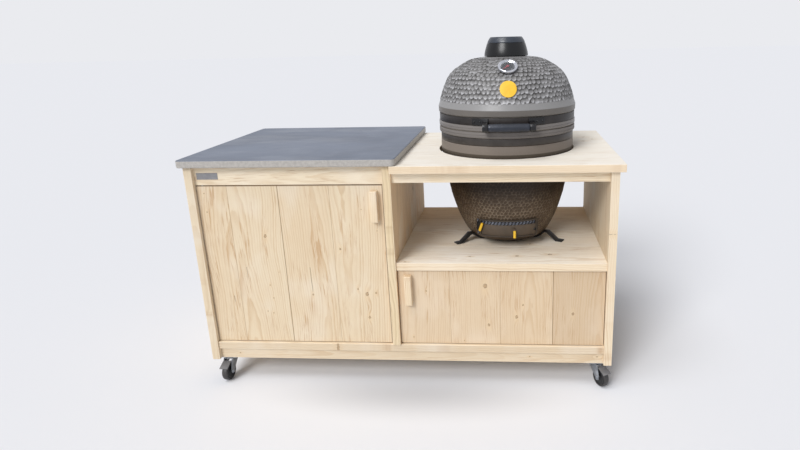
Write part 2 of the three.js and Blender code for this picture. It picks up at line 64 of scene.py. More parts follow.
# The grill's axis, the level of the carcase's underside, and the grill's small turn to the right.
axisX = 0.398
axisY = -0.013
carcaseZ = 0.1
grillTurn = math.radians(2)
grillFrame = Matrix.Translation((axisX, axisY, carcaseZ)) @ Matrix.Rotation(grillTurn, 4, "Z")

# Without a seed the noise that shifts the ceramic's hollows starts from the clock.
hollowSeed = 1
noise.seed_set(hollowSeed)


def srgb(red, green, blue):
    channels = []
    for value in (red / 255, green / 255, blue / 255):
        channels.append(value / 12.92 if value <= 0.04045 else ((value + 0.055) / 1.055) ** 2.4)
    return (*channels, 1.0)


# Node helpers. Colours are written as sRGB triples, which mixColours converts.
def addNode(tree, kind, **settings):
    made = tree.nodes.new("ShaderNode" + kind)
    for name, value in settings.items():
        setattr(made, name, value)
    return made


def plug(tree, socket, value):
    if isinstance(value, bpy.types.NodeSocket):
        tree.links.new(value, socket)
    elif value is not None:
        socket.default_value = value


def calc(tree, operation, first, second=None, third=None):
    made = addNode(tree, "Math", operation=operation)
    for socket, value in zip(made.inputs, (first, second, third)):
        plug(tree, socket, value)
    return made.outputs[0]


# A base moved by how far a noise value is from its middle.
def sway(tree, value, amount, base):
    return calc(tree, "MULTIPLY_ADD", calc(tree, "SUBTRACT", value, 0.5), amount, base)


def vectorCalc(tree, operation, first, second=None):
    made = addNode(tree, "VectorMath", operation=operation)
    plug(tree, made.inputs[0], first)
    plug(tree, made.inputs[1], second)
    return made.outputs["Value" if operation == "LENGTH" else "Vector"]


def splitVector(tree, vector):
    made = addNode(tree, "SeparateXYZ")
    plug(tree, made.inputs[0], vector)
    return made.outputs


def joinVector(tree, x, y, z):
    made = addNode(tree, "CombineXYZ")
    for socket, value in zip(made.inputs, (x, y, z)):
        plug(tree, socket, value)
    return made.outputs[0]


def flatLength(tree, x, y):
    return vectorCalc(tree, "LENGTH", joinVector(tree, x, y, 0.0))


def fade(tree, value, start, end, low=0.0, high=1.0):
    made = addNode(tree, "MapRange", interpolation_type="SMOOTHSTEP")
    for socket, given in zip(made.inputs, (value, start, end, low, high)):
        plug(tree, socket, given)
    return made.outputs[0]


def mixColours(tree, factor, first, second, mode="MIX"):
    made = addNode(tree, "Mix", data_type="RGBA", blend_type=mode)
    for place, value in ((0, factor), (6, first), (7, second)):
        plug(tree, made.inputs[place], srgb(*value) if isinstance(value, tuple) else value)
    return made.outputs[2]


# A colour with a tone over it, as much as the mask and the amount say.
def stain(tree, colour, mask, amount, tone):
    return mixColours(tree, calc(tree, "MULTIPLY", mask, amount), colour, tone)


def noiseAt(tree, vector, scale, detail=2.0, roughness=0.5, distortion=0.0):
    made = addNode(tree, "TexNoise")
    settings = {"Vector": vector, "Scale": scale, "Detail": detail, "Roughness": roughness,
                "Distortion": distortion}
    for label, value in settings.items():
        plug(tree, made.inputs[label], value)
    return made.outputs[0]


def randomAt(tree, value):
    made = addNode(tree, "TexWhiteNoise", noise_dimensions="1D")
    plug(tree, made.inputs["W"], value)
    return made.outputs


def attributeAt(tree, name):
    return addNode(tree, "Attribute", attribute_name=name).outputs["Fac"]


def bumpFrom(tree, height, distance, strength=0.5):
    made = addNode(tree, "Bump")
    for label, value in (("Height", height), ("Distance", distance), ("Strength", strength)):
        plug(tree, made.inputs[label], value)
    return made.outputs[0]


def startGroup(name, inputs, outputs):
    tree = bpy.data.node_groups.new(name, "ShaderNodeTree")
    for label, value in inputs.items():
        kind = "Vector" if isinstance(value, tuple) else "Float"
        socket = tree.interface.new_socket(label, in_out="INPUT", socket_type="NodeSocket" + kind)
        socket.default_value = value
    for label in outputs:
        tree.interface.new_socket(label, in_out="OUTPUT", socket_type="NodeSocketFloat")
    return tree, tree.nodes.new("NodeGroupInput").outputs, tree.nodes.new("NodeGroupOutput").inputs


def useGroup(tree, group, values):
    made = tree.nodes.new("ShaderNodeGroup")
    made.node_tree = group
    for label, value in values.items():
        plug(tree, made.inputs[label], value)
    return made.outputs


def setShader(material, **settings):
    shader = material.node_tree.nodes["Principled BSDF"]
    for label, value in settings.items():
        shader.inputs[label.replace("_", " ")].default_value = value
    return shader


def newMaterial(name, **settings):
    material = bpy.data.materials.new(name)
    material.use_nodes = True
    shader = setShader(material, **settings)
    tree = material.node_tree
    return material, tree, shader, addNode(tree, "TexCoord").outputs


# Plugs a surface's colour, roughness and bump in.
def finishShader(tree, shader, colour, roughness, normal):
    for label, value in (("Base Color", colour), ("Roughness", roughness), ("Normal", normal)):
        plug(tree, shader.inputs[label], value)


# Spruce grain: places and sways in metres, how fast a ring closes up along the board, and noise scales
grainValues = {
    "pithSide": (0.02, 0.17), "pithDepth": (0.012, 0.06), "taper": 0.05, "ringSway": 0.008,
    "blots": 5.0, "fibres": 620.0, "threads": 190.0, "clusters": 6.5, "clouds": 4.2,
}


# Growth rings round a pith line that runs under the face, so each plank shows arches or straight lines.
def makeGrainGroup(values):
    tree, given, result = startGroup(
        "spruceGrain",
        {"Board": (0, 0, 0), "Plank": 1.0, "Spacing": 0.005, "Bulge": 0.0, "Wander": 0.03},
        ["Line", "Tone", "Fibre", "Chance", "Strand", "Bloom"],
    )
    along, across, through = splitVector(tree, given["Board"])
    first, second, third = splitVector(tree, randomAt(tree, given["Plank"])["Color"])
    plug(tree, result["Chance"], first)
    seedShift = calc(tree, "MULTIPLY", given["Plank"], 3.7)

    def plankNoise(stretch, scale, detail, shift=seedShift):
        spot = joinVector(tree, along, calc(tree, "MULTIPLY", across, stretch), shift)
        return noiseAt(tree, spot, scale, detail)

    pith = fade(tree, first, 0.0, 1.0, *values["pithSide"])
    offset = sway(tree, plankNoise(1.6, 2.2, 1.0), given["Wander"], calc(tree, "SUBTRACT", across, pith))
    taper = fade(tree, third, 0.0, 1.0, -values["taper"], values["taper"])
    depth = calc(tree, "ADD", fade(tree, second, 0.0, 1.0, *values["pithDepth"]), through)
    depth = calc(tree, "MULTIPLY_ADD", along, taper, depth)
    radius = calc(tree, "ADD", flatLength(tree, offset, depth), given["Bulge"])
    radius = sway(tree, plankNoise(4.0, 11.0, 2.0), values["ringSway"], radius)
    ring = calc(tree, "DIVIDE", radius, given["Spacing"])
    growth = calc(tree, "FRACT", ring)
    late = calc(tree, "MULTIPLY", fade(tree, growth, 0.25, 0.86), fade(tree, growth, 1.0, 0.9))
    chance = randomAt(tree, calc(tree, "ADD", calc(tree, "FLOOR", ring), seedShift))["Value"]
    plug(tree, result["Line"], calc(tree, "MULTIPLY", late, fade(tree, chance, 0.0, 1.0, 0.35, 1.0)))
    plug(tree, result["Tone"], plankNoise(2.5, values["blots"], 3.0))
    fibres = joinVector(tree, calc(tree, "MULTIPLY", along, 0.03), across, through)
    plug(tree, result["Fibre"], noiseAt(tree, fibres, values["fibres"], 3.0, 0.6))
    threads = joinVector(tree, calc(tree, "MULTIPLY", along, 0.05), offset, seedShift)
    thread = fade(tree, noiseAt(tree, threads, values["threads"], 3.0, 0.65), 0.5, 0.66)
    gathered = calc(tree, "MULTIPLY", offset, 2.4)
    clusters = joinVector(tree, calc(tree, "MULTIPLY", along, 0.55), gathered, seedShift)
    cluster = fade(tree, noiseAt(tree, clusters, values["clusters"], 2.0), 0.46, 0.64)
    plug(tree, result["Strand"], calc(tree, "MULTIPLY", thread, cluster))
    clouds = plankNoise(1.6, values["clouds"], 3.0, calc(tree, "ADD", seedShift, 9.0))
    plug(tree, result["Bloom"], fade(tree, clouds, 0.5, 0.68))
    return tree


# Knots: how much of a listed size is drawn, how far a knot is stretched along the board, and then shares
# of its radius
knotValues = {"share": 0.5, "stretch": 0.78, "ragged": 0.7, "halo": 3.4, "pushed": 4.2, "push": 2.1}


# A branch cut through the face: its core, the dark bark line round it, the stained wood near it, and the
# push on the rings.
def makeKnotGroup(values):
    tree, given, result = startGroup(
        "knot", {"Board": (0, 0, 0), "Along": 0.0, "Across": 0.0, "Radius": 0.01},
        ["Core", "Bark", "Halo", "Bulge"],
    )
    along, across, through = splitVector(tree, given["Board"])
    shiftAlong = calc(tree, "MULTIPLY", calc(tree, "SUBTRACT", along, given["Along"]), values["stretch"])
    shiftAcross = calc(tree, "SUBTRACT", across, given["Across"])
    flat = joinVector(tree, shiftAlong, shiftAcross, 0.0)
    ragged = calc(tree, "MULTIPLY", given["Radius"], values["ragged"])
    distance = sway(tree, noiseAt(tree, flat, 110.0), ragged, vectorCalc(tree, "LENGTH", flat))
    share = calc(tree, "DIVIDE", distance, given["Radius"])
    plug(tree, result["Core"], fade(tree, share, 1.05, 0.85))
    bark = calc(tree, "MULTIPLY", fade(tree, share, 0.7, 0.95), fade(tree, share, 1.25, 1.0))
    plug(tree, result["Bark"], bark)
    stretched = flatLength(tree, calc(tree, "MULTIPLY", shiftAlong, 0.5), shiftAcross)
    wide = calc(tree, "DIVIDE", stretched, given["Radius"])
    plug(tree, result["Halo"], fade(tree, wide, values["halo"], 0.9))
    push = calc(tree, "MULTIPLY", given["Radius"], values["push"])
    plug(tree, result["Bulge"], calc(tree, "MULTIPLY", fade(tree, wide, values["pushed"], 0.0), push))
    return tree


# How near a point is to an edge of a box, so edges can look handled and pale.
def makeEdgeGroup():
    tree, given, result = startGroup(
        "boardEdge", {"Point": (0, 0, 0), "Low": (0, 0, 0), "High": (1, 1, 1), "Reach": 0.004}, ["Edge"],
    )
    below = vectorCalc(tree, "SUBTRACT", given["Point"], given["Low"])
    above = vectorCalc(tree, "SUBTRACT", given["High"], given["Point"])
    x, y, z = splitVector(tree, vectorCalc(tree, "MINIMUM", below, above))
    inner = calc(tree, "MINIMUM", calc(tree, "MAXIMUM", x, y), z)
    second = calc(tree, "MAXIMUM", calc(tree, "MINIMUM", x, y), inner)
    second = sway(tree, noiseAt(tree, given["Point"], 60.0, 3.0), given["Reach"], second)
    plug(tree, result["Edge"], fade(tree, second, given["Reach"], 0.0))
    return tree


grainGroup = makeGrainGroup(grainValues)
knotGroup = makeKnotGroup(knotValues)
edgeGroup = makeEdgeGroup()

# Boards
spruceTones = {
    "pale": (238, 225, 202), "warm": (229, 208, 176), "line": (196, 162, 120), "strand": (188, 150, 110),
    "bloom": (240, 230, 214), "core": (158, 126, 92), "bark": (98, 78, 62), "halo": (224, 198, 160),
    "seam": (140, 112, 80), "worn": (244, 232, 210),
}
plainLook = {
    "contrast": 0.42, "spacing": 0.0065, "wander": 0.04, "strands": 0.6, "shine": 0.35, "round": 0.0012,
}
steep = (0.7, 0.3)  # between these a face's normal turns away from an axis
frontFacing = (-0.3, -0.7)  # and here it turns to the front


# Which plank a point is on, how far across it, and how far from the nearest seam.
def plankFields(tree, side, start, look):
    number = look["seed"]
    local = calc(tree, "SUBTRACT", side, start)
    gap = None
    before = start
    for seam in look.get("seams", ()):
        passed = calc(tree, "GREATER_THAN", side, seam)
        number = calc(tree, "ADD", passed, number)
        local = calc(tree, "MULTIPLY_ADD", passed, before - seam, local)
        near = calc(tree, "ABSOLUTE", calc(tree, "SUBTRACT", side, seam))
        gap = near if gap is None else calc(tree, "MINIMUM", gap, near)
        before = seam
    return number, local, gap


# The marks of all the knots of a board together.
def knotFields(tree, boardSpot, look):
    fields = {}
    for along, across, radius in look.get("knots", ()):
        made = useGroup(tree, knotGroup, {
            "Board": boardSpot, "Along": along, "Across": across, "Radius": radius * knotValues["share"],
        })
        for label in ("Core", "Bark", "Halo", "Bulge"):
            operation = "ADD" if label == "Bulge" else "MAXIMUM"
            before = fields.get(label)
            fields[label] = made[label] if before is None else calc(tree, operation, before, made[label])
    return fields


# The colour of clear wood: pale and warm clouds, growth rings, fibres, blooms and brown strands.
def clearWood(tree, figure, tones, look):
    cloud = calc(tree, "MULTIPLY_ADD", figure["Chance"], 0.35, calc(tree, "MULTIPLY", figure["Tone"], 0.8))
    colour = mixColours(tree, cloud, tones["pale"], tones["warm"])
    colour = stain(tree, colour, figure["Line"], look["contrast"], tones["line"])
    colour = mixColours(tree, fade(tree, figure["Fibre"], 0.35, 0.7, 0.0, 0.16), colour, tones["line"])
    colour = stain(tree, colour, figure["Bloom"], 0.45, tones["bloom"])
    return stain(tree, colour, figure["Strand"], look["strands"], tones["strand"])


# Seams, slits and flames
def addLines(tree, colour, along, side, gap, figure, tones, look):
    if gap is not None:
        colour = mixColours(tree, fade(tree, gap, 0.0014, 0.0003, 0.0, 0.3), colour, tones["seam"])
    if "bold" in look:
        near = calc(tree, "ABSOLUTE", calc(tree, "SUBTRACT", side, look["bold"]))
        colour = mixColours(tree, fade(tree, near, 0.0022, 0.0005, 0.0, 0.7), colour, tones["seam"])
    for first, last, place, width in look.get("slits", ()):
        drifting = sway(tree, figure["Tone"], 0.02, calc(tree, "SUBTRACT", side, place))
        line = fade(tree, calc(tree, "ABSOLUTE", drifting), width, width * 0.3, 0.0, 0.75)
        line = calc(tree, "MULTIPLY", line, fade(tree, along, first, first + 0.02))
        line = calc(tree, "MULTIPLY", line, fade(tree, along, last, last - 0.004))
        colour = mixColours(tree, line, colour, tones["bark"])
    for middle, place, reach, width in look.get("flames", ()):
        shareAlong = calc(tree, "DIVIDE", calc(tree, "SUBTRACT", along, middle), reach)
        shareAcross = calc(tree, "DIVIDE", calc(tree, "SUBTRACT", side, place), width)
        flame = fade(tree, flatLength(tree, shareAlong, shareAcross), 1.0, 0.2, 0.0, 0.5)
        flame = calc(tree, "MULTIPLY", flame, fade(tree, figure["Line"], 0.1, 0.7, 0.3, 1.0))
        colour = mixColours(tree, flame, colour, tones["strand"])
    return colour


# Shades that depend on where a face is and which way it looks; the doors' rim shade, the gap lines and the
# back shade are painted shade
def addShades(tree, colour, parts, side, facing, box, tones, look):
    def multiply(mask, tone):
        return mixColours(tree, mask, colour, tone, "MULTIPLY")

    def turnedFrom(axis):
        return fade(tree, calc(tree, "ABSOLUTE", facing[axis]), *steep)

    if "deeper" in look:
        limit, tone = look["deeper"]
        colour = multiply(calc(tree, "GREATER_THAN", side, limit), tone)
    # painted shade on faces turned from the front, such as a door's faces in its gaps
    if "rim" in look:
        colour = multiply(turnedFrom(1), look["rim"])
    if "front" in look:
        colour = multiply(fade(tree, facing[1], *frontFacing), look["front"])
    # painted shadow lines of the gaps along the front's borders
    for axis, reach in look.get("gapShadowLines", ()):
        edge = box[1][axis]
        gapShadow = fade(tree, parts[axis], edge - reach, edge - 0.5 * reach, 0.0, 0.75)
        gapShadow = calc(tree, "MULTIPLY", gapShadow, fade(tree, facing[1], *frontFacing))
        colour = mixColours(tree, gapShadow, colour, tones["bark"])
    # painted shade over an upper face, growing towards the back
    if "paintedBackShade" in look:
        start, end, tone = look["paintedBackShade"]
        paintedBackShade = calc(tree, "MULTIPLY", fade(tree, parts[1], start, end), fade(tree, facing[2], 0.3, 0.7))
        colour = multiply(paintedBackShade, tone)
    if "sides" in look:
        colour = multiply(turnedFrom(2), look["sides"])
    return colour


def woodMaterial(name, box, look):
    tones = {**spruceTones, **look.get("tones", {})}
    material, tree, shader, spot = newMaterial(name, Specular_IOR_Level=0.3)
    grain, across = ("xyz".index(letter) for letter in look["grain"])
    flat = 3 - grain - across
    parts = splitVector(tree, spot["Object"])
    facing = splitVector(tree, spot["Normal"])
    along = parts[grain]
    side = parts[across]
    through = calc(tree, "SUBTRACT", parts[flat], box[0][flat])
    number, local, gap = plankFields(tree, side, box[0][across], look)
    boardSpot = joinVector(tree, along, side, through)
    knots = knotFields(tree, boardSpot, look)
    figure = useGroup(tree, grainGroup, {
        "Board": joinVector(tree, along, local, through), "Plank": number, "Spacing": look["spacing"],
        "Bulge": knots.get("Bulge"), "Wander": look["wander"],
    })
    colour = clearWood(tree, figure, tones, look)
    if knots:
        colour = stain(tree, colour, knots["Halo"], 0.4, tones["halo"])
        colour = stain(tree, colour, knots["Core"], 0.6, tones["core"])
        broken = fade(tree, noiseAt(tree, boardSpot, 260.0), 0.42, 0.6)
        colour = stain(tree, colour, knots["Bark"], broken, tones["bark"])
    colour = addLines(tree, colour, along, side, gap, figure, tones, look)
    colour = addShades(tree, colour, parts, side, facing, box, tones, look)
    cutEnd = fade(tree, calc(tree, "ABSOLUTE", facing[grain]), 0.7, 0.95, 0.0, 0.3)
    colour = mixColours(tree, cutEnd, colour, tones["line"])
    edgeInputs = {"Point": spot["Object"], "Low": box[0], "High": box[1], "Reach": 0.0035}
    edge = useGroup(tree, edgeGroup, edgeInputs)["Edge"]
    colour = stain(tree, colour, edge, look["shine"], tones["worn"])
    relief = calc(tree, "MULTIPLY_ADD", figure["Line"], 0.6, calc(tree, "MULTIPLY", figure["Fibre"], 0.5))
    rough = fade(tree, figure["Fibre"], 0.2, 0.8, 0.62, 0.78)
    finishShader(tree, shader, colour, rough, bumpFrom(tree, relief, 0.0005, 0.6))
    return material


def even(low, high, width=0.19):
    count = round((high - low) / width)
    return [low + (high - low) * (step + 1) / count for step in range(count - 1)]


# What a board's look says, in metres where it is a length:
# grain: the grain's axis and the axis across it. seams: where its planks meet. seed: which planks they are.
# contrast, spacing, wander: how strong, how far apart and how wavy the growth rings are.
# strands, shine, round: how strong the brown strands are, how pale its edges are and how round.
# knots: place along, place across and size. bold: the place of one wide dark seam.
# slits: start, end, place and half width of a crack. flames: middle, place, reach and half width of a
# brown flame. deeper: a limit across the board and the shade beyond it. rim, front, sides: shades of its
# rim, its front and its upright faces; on the doors the rim shade is painted shade for the faces in the gaps.
# gapShadowLines: painted shadow lines of the gaps along borders of its front, by axis and width.
# paintedBackShade: painted shade that grows over its upper face, from one place to another towards the back.
sideSeams = even(-0.38, 0.38)
bottomSeams = even(-0.374, 0.38)
leftDoorSeams = [-0.651, -0.456, -0.26]
rightDoorSeams = [0.179, 0.372, 0.573]
doorTones = {"pale": (230, 215, 190), "warm": (222, 202, 172), "bloom": (232, 219, 198)}
railTones = {"pale": (244, 231, 206), "warm": (238, 220, 190), "bloom": (245, 234, 214)}
pullTones = {"pale": (246, 230, 204)}
# the rim shade is painted shade on the doors' faces that sit in the gaps round them
doorEdges = {"rim": (200, 178, 152), "shine": 0.12, "round": 0.0006}
boards = {
    "left_side_panel": {
        "grain": "zy", "seams": sideSeams, "seed": 11.0, "front": (245, 245, 244),
        "knots": [(0.52, -0.12, 0.012), (0.3, 0.21, 0.01)],
    },
    "right_side_panel": {
        "grain": "zy", "seams": sideSeams, "seed": 21.0,
        "knots": [(0.638, -0.377, 0.006), (0.42, 0.1, 0.012)],
    },
    "divider_panel": {
        "grain": "zy", "seams": sideSeams, "seed": 31.0, "contrast": 0.55, "front": (240, 250, 255),
        "tones": {"pale": (250, 224, 190), "warm": (238, 206, 164)}, "knots": [(0.7, 0.07, 0.012)],
    },
    "left_bottom_board": {
        "grain": "xy", "seams": bottomSeams, "seed": 41.0, "sides": (242, 240, 238),
        "knots": [(-0.276, -0.374, 0.007)],
    },
    "right_bottom_board": {"grain": "xy", "seams": bottomSeams, "seed": 51.0, "sides": (242, 240, 238)},
    "kamado_shelf": {
        "grain": "xy", "seams": bottomSeams, "seed": 61.0, "contrast": 0.35,
        "tones": {"pale": (254, 248, 236), "warm": (248, 237, 219), "bloom": (255, 250, 242)},
        # painted shade towards the back of the bay on the shelf's top
        "sides": (240, 230, 214), "paintedBackShade": (-0.06, 0.32, (224, 201, 170)),
        "knots": [
            (0.437, -0.294, 0.01), (0.565, -0.277, 0.012), (0.011, -0.36, 0.008), (0.491, -0.159, 0.008),
            (0.255, -0.301, 0.007),
        ],
    },
    "front_plinth": {
        "grain": "xz", "seed": 71.0, "tones": doorTones,
        "knots": [(0.485, 0.125, 0.0045), (0.746, 0.128, 0.005), (-0.69, 0.121, 0.005)],
    },
    "left_runner": {"grain": "yx", "seed": 81.0},
    "right_runner": {"grain": "yx", "seed": 82.0},
    "left_top_rail": {"grain": "xz", "seed": 91.0, "contrast": 0.3, "tones": railTones},
    "right_top_rail": {"grain": "xz", "seed": 92.0, "contrast": 0.35, "tones": railTones},
    "right_back_rail": {"grain": "xz", "seed": 93.0},
    "left_back_panel": {
        "grain": "zx", "seams": even(-0.77, -0.052), "seed": 101.0,
        "knots": [(0.35, -0.6, 0.012), (0.7, -0.2, 0.01)],
    },
    "right_back_panel": {
        "grain": "zx", "seams": even(-0.022, 0.77), "seed": 111.0, "knots": [(0.3, 0.3, 0.012)],
    },
    "wood_top": {
        "grain": "xy", "seams": even(-0.398, 0.372), "seed": 121.0, "contrast": 0.22, "strands": 0.25,
        "tones": {"pale": (254, 250, 243), "warm": (246, 238, 224), "line": (212, 190, 156),
                  "halo": (228, 206, 172)},
        "sides": (238, 224, 204),
        "knots": [(0.723, 0.086, 0.012), (0.0, 0.06, 0.01), (0.768, 0.133, 0.008), (0.736, 0.189, 0.011)],
    },
    "left_door": {
        "grain": "zx", "seams": leftDoorSeams, "seed": 131.0, "contrast": 0.44, "spacing": 0.0085,
        # painted shadow lines of the gaps along the left door's right and top borders
        "wander": 0.07, "strands": 0.78, "bold": leftDoorSeams[1], "gapShadowLines": [(0, 0.006), (2, 0.003)],
        **doorEdges,
        "tones": {"pale": (230, 216, 190), "warm": (222, 201, 170), "bloom": (231, 219, 199)},
        "flames": [
            (0.33, -0.14, 0.05, 0.012), (0.42, -0.64, 0.1, 0.03), (0.33, -0.365, 0.06, 0.025),
            (0.6, -0.33, 0.15, 0.03), (0.56, -0.69, 0.08, 0.02),
        ],
        "slits": [
            (0.385, 0.5, -0.362, 0.0016), (0.342, 0.378, -0.681, 0.0016), (0.44, 0.5, -0.612, 0.0009),
        ],
        "knots": [
            (0.573, -0.236, 0.007), (0.383, -0.36, 0.006), (0.387, -0.145, 0.012), (0.408, -0.179, 0.006),
            (0.392, -0.109, 0.006), (0.287, -0.141, 0.009), (0.625, -0.524, 0.01), (0.31, -0.551, 0.004),
            (0.302, -0.528, 0.004), (0.795, -0.741, 0.004), (0.722, -0.74, 0.004), (0.422, -0.529, 0.004),
            (0.367, -0.52, 0.004), (0.477, -0.487, 0.003), (0.73, -0.143, 0.003), (0.646, -0.088, 0.003),
        ],
    },
    "right_door": {
        "grain": "zx", "seams": rightDoorSeams, "seed": 147.0, "contrast": 0.36, "spacing": 0.008,
        "wander": 0.06, "strands": 0.62, "bold": rightDoorSeams[2],
        "deeper": (rightDoorSeams[2], (245, 244, 244)), **doorEdges,
        "tones": {"pale": (226, 207, 180), "warm": (216, 192, 160), "bloom": (228, 210, 186)},
        "flames": [
            (0.415, 0.085, 0.05, 0.011), (0.298, 0.086, 0.045, 0.012), (0.35, 0.435, 0.045, 0.012),
            (0.43, 0.42, 0.03, 0.006),
        ],
        "knots": [
            (0.424, 0.315, 0.014), (0.296, 0.434, 0.01), (0.26, 0.327, 0.009), (0.311, 0.649, 0.009),
            (0.191, 0.23, 0.004), (0.204, 0.03, 0.004), (0.402, 0.087, 0.005), (0.346, 0.459, 0.006),
        ],
    },
    "left_door_pull": {"grain": "zx", "seed": 151.0, "contrast": 0.25, "tones": pullTones},
    "right_door_pull": {"grain": "zx", "seed": 152.0, "contrast": 0.25, "tones": pullTones},
}


# Gives a CAD node its material and eases its edges.
def dress(name, material, width):
    thing = frame["nodes"][name]
    thing.data.materials.clear()
    thing.data.materials.append(material)
    weld = thing.modifiers.new("weld", "WELD")
    weld.merge_threshold = 0.00002
    bevel = thing.modifiers.new("bevel", "BEVEL")
    bevel.width = width
    bevel.segments = 2
    bevel.limit_method = "ANGLE"
    bevel.angle_limit = math.radians(40)


for name, ownLook in boards.items():
    look = {**plainLook, **ownLook}
    dress(name, woodMaterial(name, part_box(name), look), look["round"])
print("boards done")

stoneTones = {
    "face": [(92, 100, 116), (112, 120, 137)], "streak": (132, 140, 154), "fine": (78, 84, 96),
    "sawn": [(162, 158, 153), (184, 180, 174)],
}


# Stone slab: a slate face with pale clouds, and sawn pale edges
def makeStone(tones):
    material, tree, shader, spot = newMaterial("stone")
    place = spot["Object"]
    x, y, z = splitVector(tree, place)
    streak = noiseAt(tree, joinVector(tree, calc(tree, "MULTIPLY", x, 0.45), y, z), 6.0, 5.0, 0.6)
    cloud = noiseAt(tree, place, 3.2, 4.0, 0.55, 0.4)
    fine = noiseAt(tree, place, 240.0, 3.0, 0.7)
    face = mixColours(tree, fade(tree, cloud, 0.3, 0.7), *tones["face"])
    face = mixColours(tree, fade(tree, streak, 0.5, 0.75, 0.0, 0.5), face, tones["streak"])
    face = mixColours(tree, fade(tree, fine, 0.4, 0.75, 0.0, 0.2), face, tones["fine"])
    sawn = mixColours(tree, fade(tree, noiseAt(tree, place, 90.0, 4.0, 0.7), 0.3, 0.7), *tones["sawn"])
    colour = mixColours(tree, fade(tree, splitVector(tree, spot["Normal"])[2], 0.75, 0.3), face, sawn)
    rough = fade(tree, streak, 0.3, 0.8, 0.36, 0.6)
    finishShader(tree, shader, colour, rough, bumpFrom(tree, fine, 0.0004))
    return material


dress("stone_top", makeStone(stoneTones), 0.001)
print("stone done")


# Shapes
def newObject(name, data):
    thing = bpy.data.objects.new(name, data)
    bpy.context.scene.collection.objects.link(thing)
    return thing


def cleanShape(shape, apart=0.00001):
    bmesh.ops.remove_doubles(shape, verts=shape.verts, dist=apart)
    bmesh.ops.recalc_face_normals(shape, faces=shape.faces)


def softenEdges(shape, width, segments=2, angle=40):
    cleanShape(shape)
    hard = [edge for edge in shape.edges if edge.calc_face_angle(0.0) > math.radians(angle)]
    bmesh.ops.bevel(shape, geom=hard, offset=width, segments=segments, profile=0.5, affect="EDGES",
                    clamp_overlap=True, material=-1)


def newPiece(name, shape, material, body, replaced=()):
    cleanShape(shape, 0.000005)
    mesh = bpy.data.meshes.new(name)
    shape.to_mesh(mesh)
    shape.free()
    mesh.shade_smooth()
    mesh.set_sharp_from_angle(angle=math.radians(35))
    mesh.materials.append(material)
    thing = newObject(name, mesh)
    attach(thing, body)
    if replaced:
        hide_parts(*replaced)


def bodyOf(node):
    return frame["nodes"][node]["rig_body"]


# A node's own mesh with its loose triangles joined and its edges eased
def easedCopy(node, material, width, angle=40):
    shape = bmesh.new()
    shape.from_mesh(frame["nodes"][node].data)
    bmesh.ops.remove_doubles(shape, verts=shape.verts, dist=0.00001)
    bmesh.ops.dissolve_limit(shape, angle_limit=math.radians(1), verts=shape.verts, edges=shape.edges)
    softenEdges(shape, width, angle=angle)
    newPiece("eased_" + node, shape, material, bodyOf(node), (node,))


# Spins an outline of points once round an axis.
def spinPoints(points, centre, axis, steps, close=False):
    shape = bmesh.new()
    verts = [shape.verts.new(point) for point in points]
    edges = [shape.edges.new(pair) for pair in zip(verts, verts[1:])]
    if close:
        edges.append(shape.edges.new((verts[-1], verts[0])))
    bmesh.ops.spin(shape, geom=verts + edges, cent=centre, axis=axis, angle=math.tau, steps=steps,
                   use_merge=True)
    return shape


def grillPoint(radius, level):
    return Vector((axisX + radius / 1000, axisY, carcaseZ + level / 1000))


# Spins (radius, level) pairs in millimetres round the grill's axis, levels from the carcase's underside.
def spunShape(profile, steps=96):
    points = [grillPoint(*point) for point in profile]
    shape = spinPoints(points, (axisX, axisY, 0), (0, 0, 1), steps, profile[0][0] > 0)
    cleanShape(shape)
    return shape


# Spins (radius, level) pairs in millimetres round the z axis of a place of its own.
def turnedShape(profile, place, steps):
    points = [(radius / 1000, 0, level / 1000) for radius, level in profile]
    shape = spinPoints(points, (0, 0, 0), (0, 0, 1), steps)
    bmesh.ops.transform(shape, matrix=place, verts=shape.verts)
    return shape


# The second half of a symmetric outline of (radius, place) pairs
def mirrored(half):
    return [(radius, -place) for radius, place in reversed(half)]


def turnWithGrill(shape):
    centre = Matrix.Translation((axisX, axisY, 0))
    turned = centre @ Matrix.Rotation(grillTurn, 4, "Z") @ centre.inverted()
    bmesh.ops.transform(shape, matrix=turned, verts=shape.verts)


# A point on the grill: degrees from its front, positive to the right, radius and level in millimetres.
def roundGrill(degrees, radius, level):
    around = math.radians(degrees)
    return grillFrame @ (Vector((radius * math.sin(around), -radius * math.cos(around), level)) / 1000)


# A uniform Catmull-Rom curve through the keys, sampled about every `step` millimetres
def smoothOutline(keys, step):
    points = []
    for place in range(len(keys) - 1):
        ends = [Vector(keys[min(max(place + shift, 0), len(keys) - 1)]) for shift in (-1, 0, 1, 2)]
        count = max(1, round((ends[2] - ends[1]).length / step))
        for part in range(count):
            t = part / count
            points.append(tuple(0.5 * (2 * ends[1] + (ends[2] - ends[0]) * t
                                       + (2 * ends[0] - 5 * ends[1] + 4 * ends[2] - ends[3]) * t ** 2
                                       + (3 * ends[1] - ends[0] - 3 * ends[2] + ends[3]) * t ** 3)))
    points.append(tuple(keys[-1]))
    return points


def ease(value, start, end):
    share = min(max((value - start) / (end - start), 0), 1)
    return share * share * (3 - 2 * share)


# The wall's rings by level, each with its radius, the length travelled and the wall's way there, and how
# many hollows fit round each row. A row is as high as `row`, a hollow about as wide as `pitch`.
def wallRows(wall, pitch, row):
    rings = {}
    counts = {}
    travelled = 0
    last = 0
    for place, point in enumerate(wall):
        ahead = Vector(wall[min(place + 1, len(wall) - 1)])
        behind = Vector(wall[max(place - 1, 0)])
        if place:
            travelled += (Vector(point) - Vector(wall[place - 1])).length
        rings[round(grillPoint(0, point[1]).z, 5)] = (point[0], travelled, (ahead - behind).normalized())
        fitting = round(math.tau * point[0] / pitch)
        if abs(fitting - last) > 0.13 * fitting:
            last = fitting
        counts.setdefault(round(travelled / row), last)
    return rings, counts
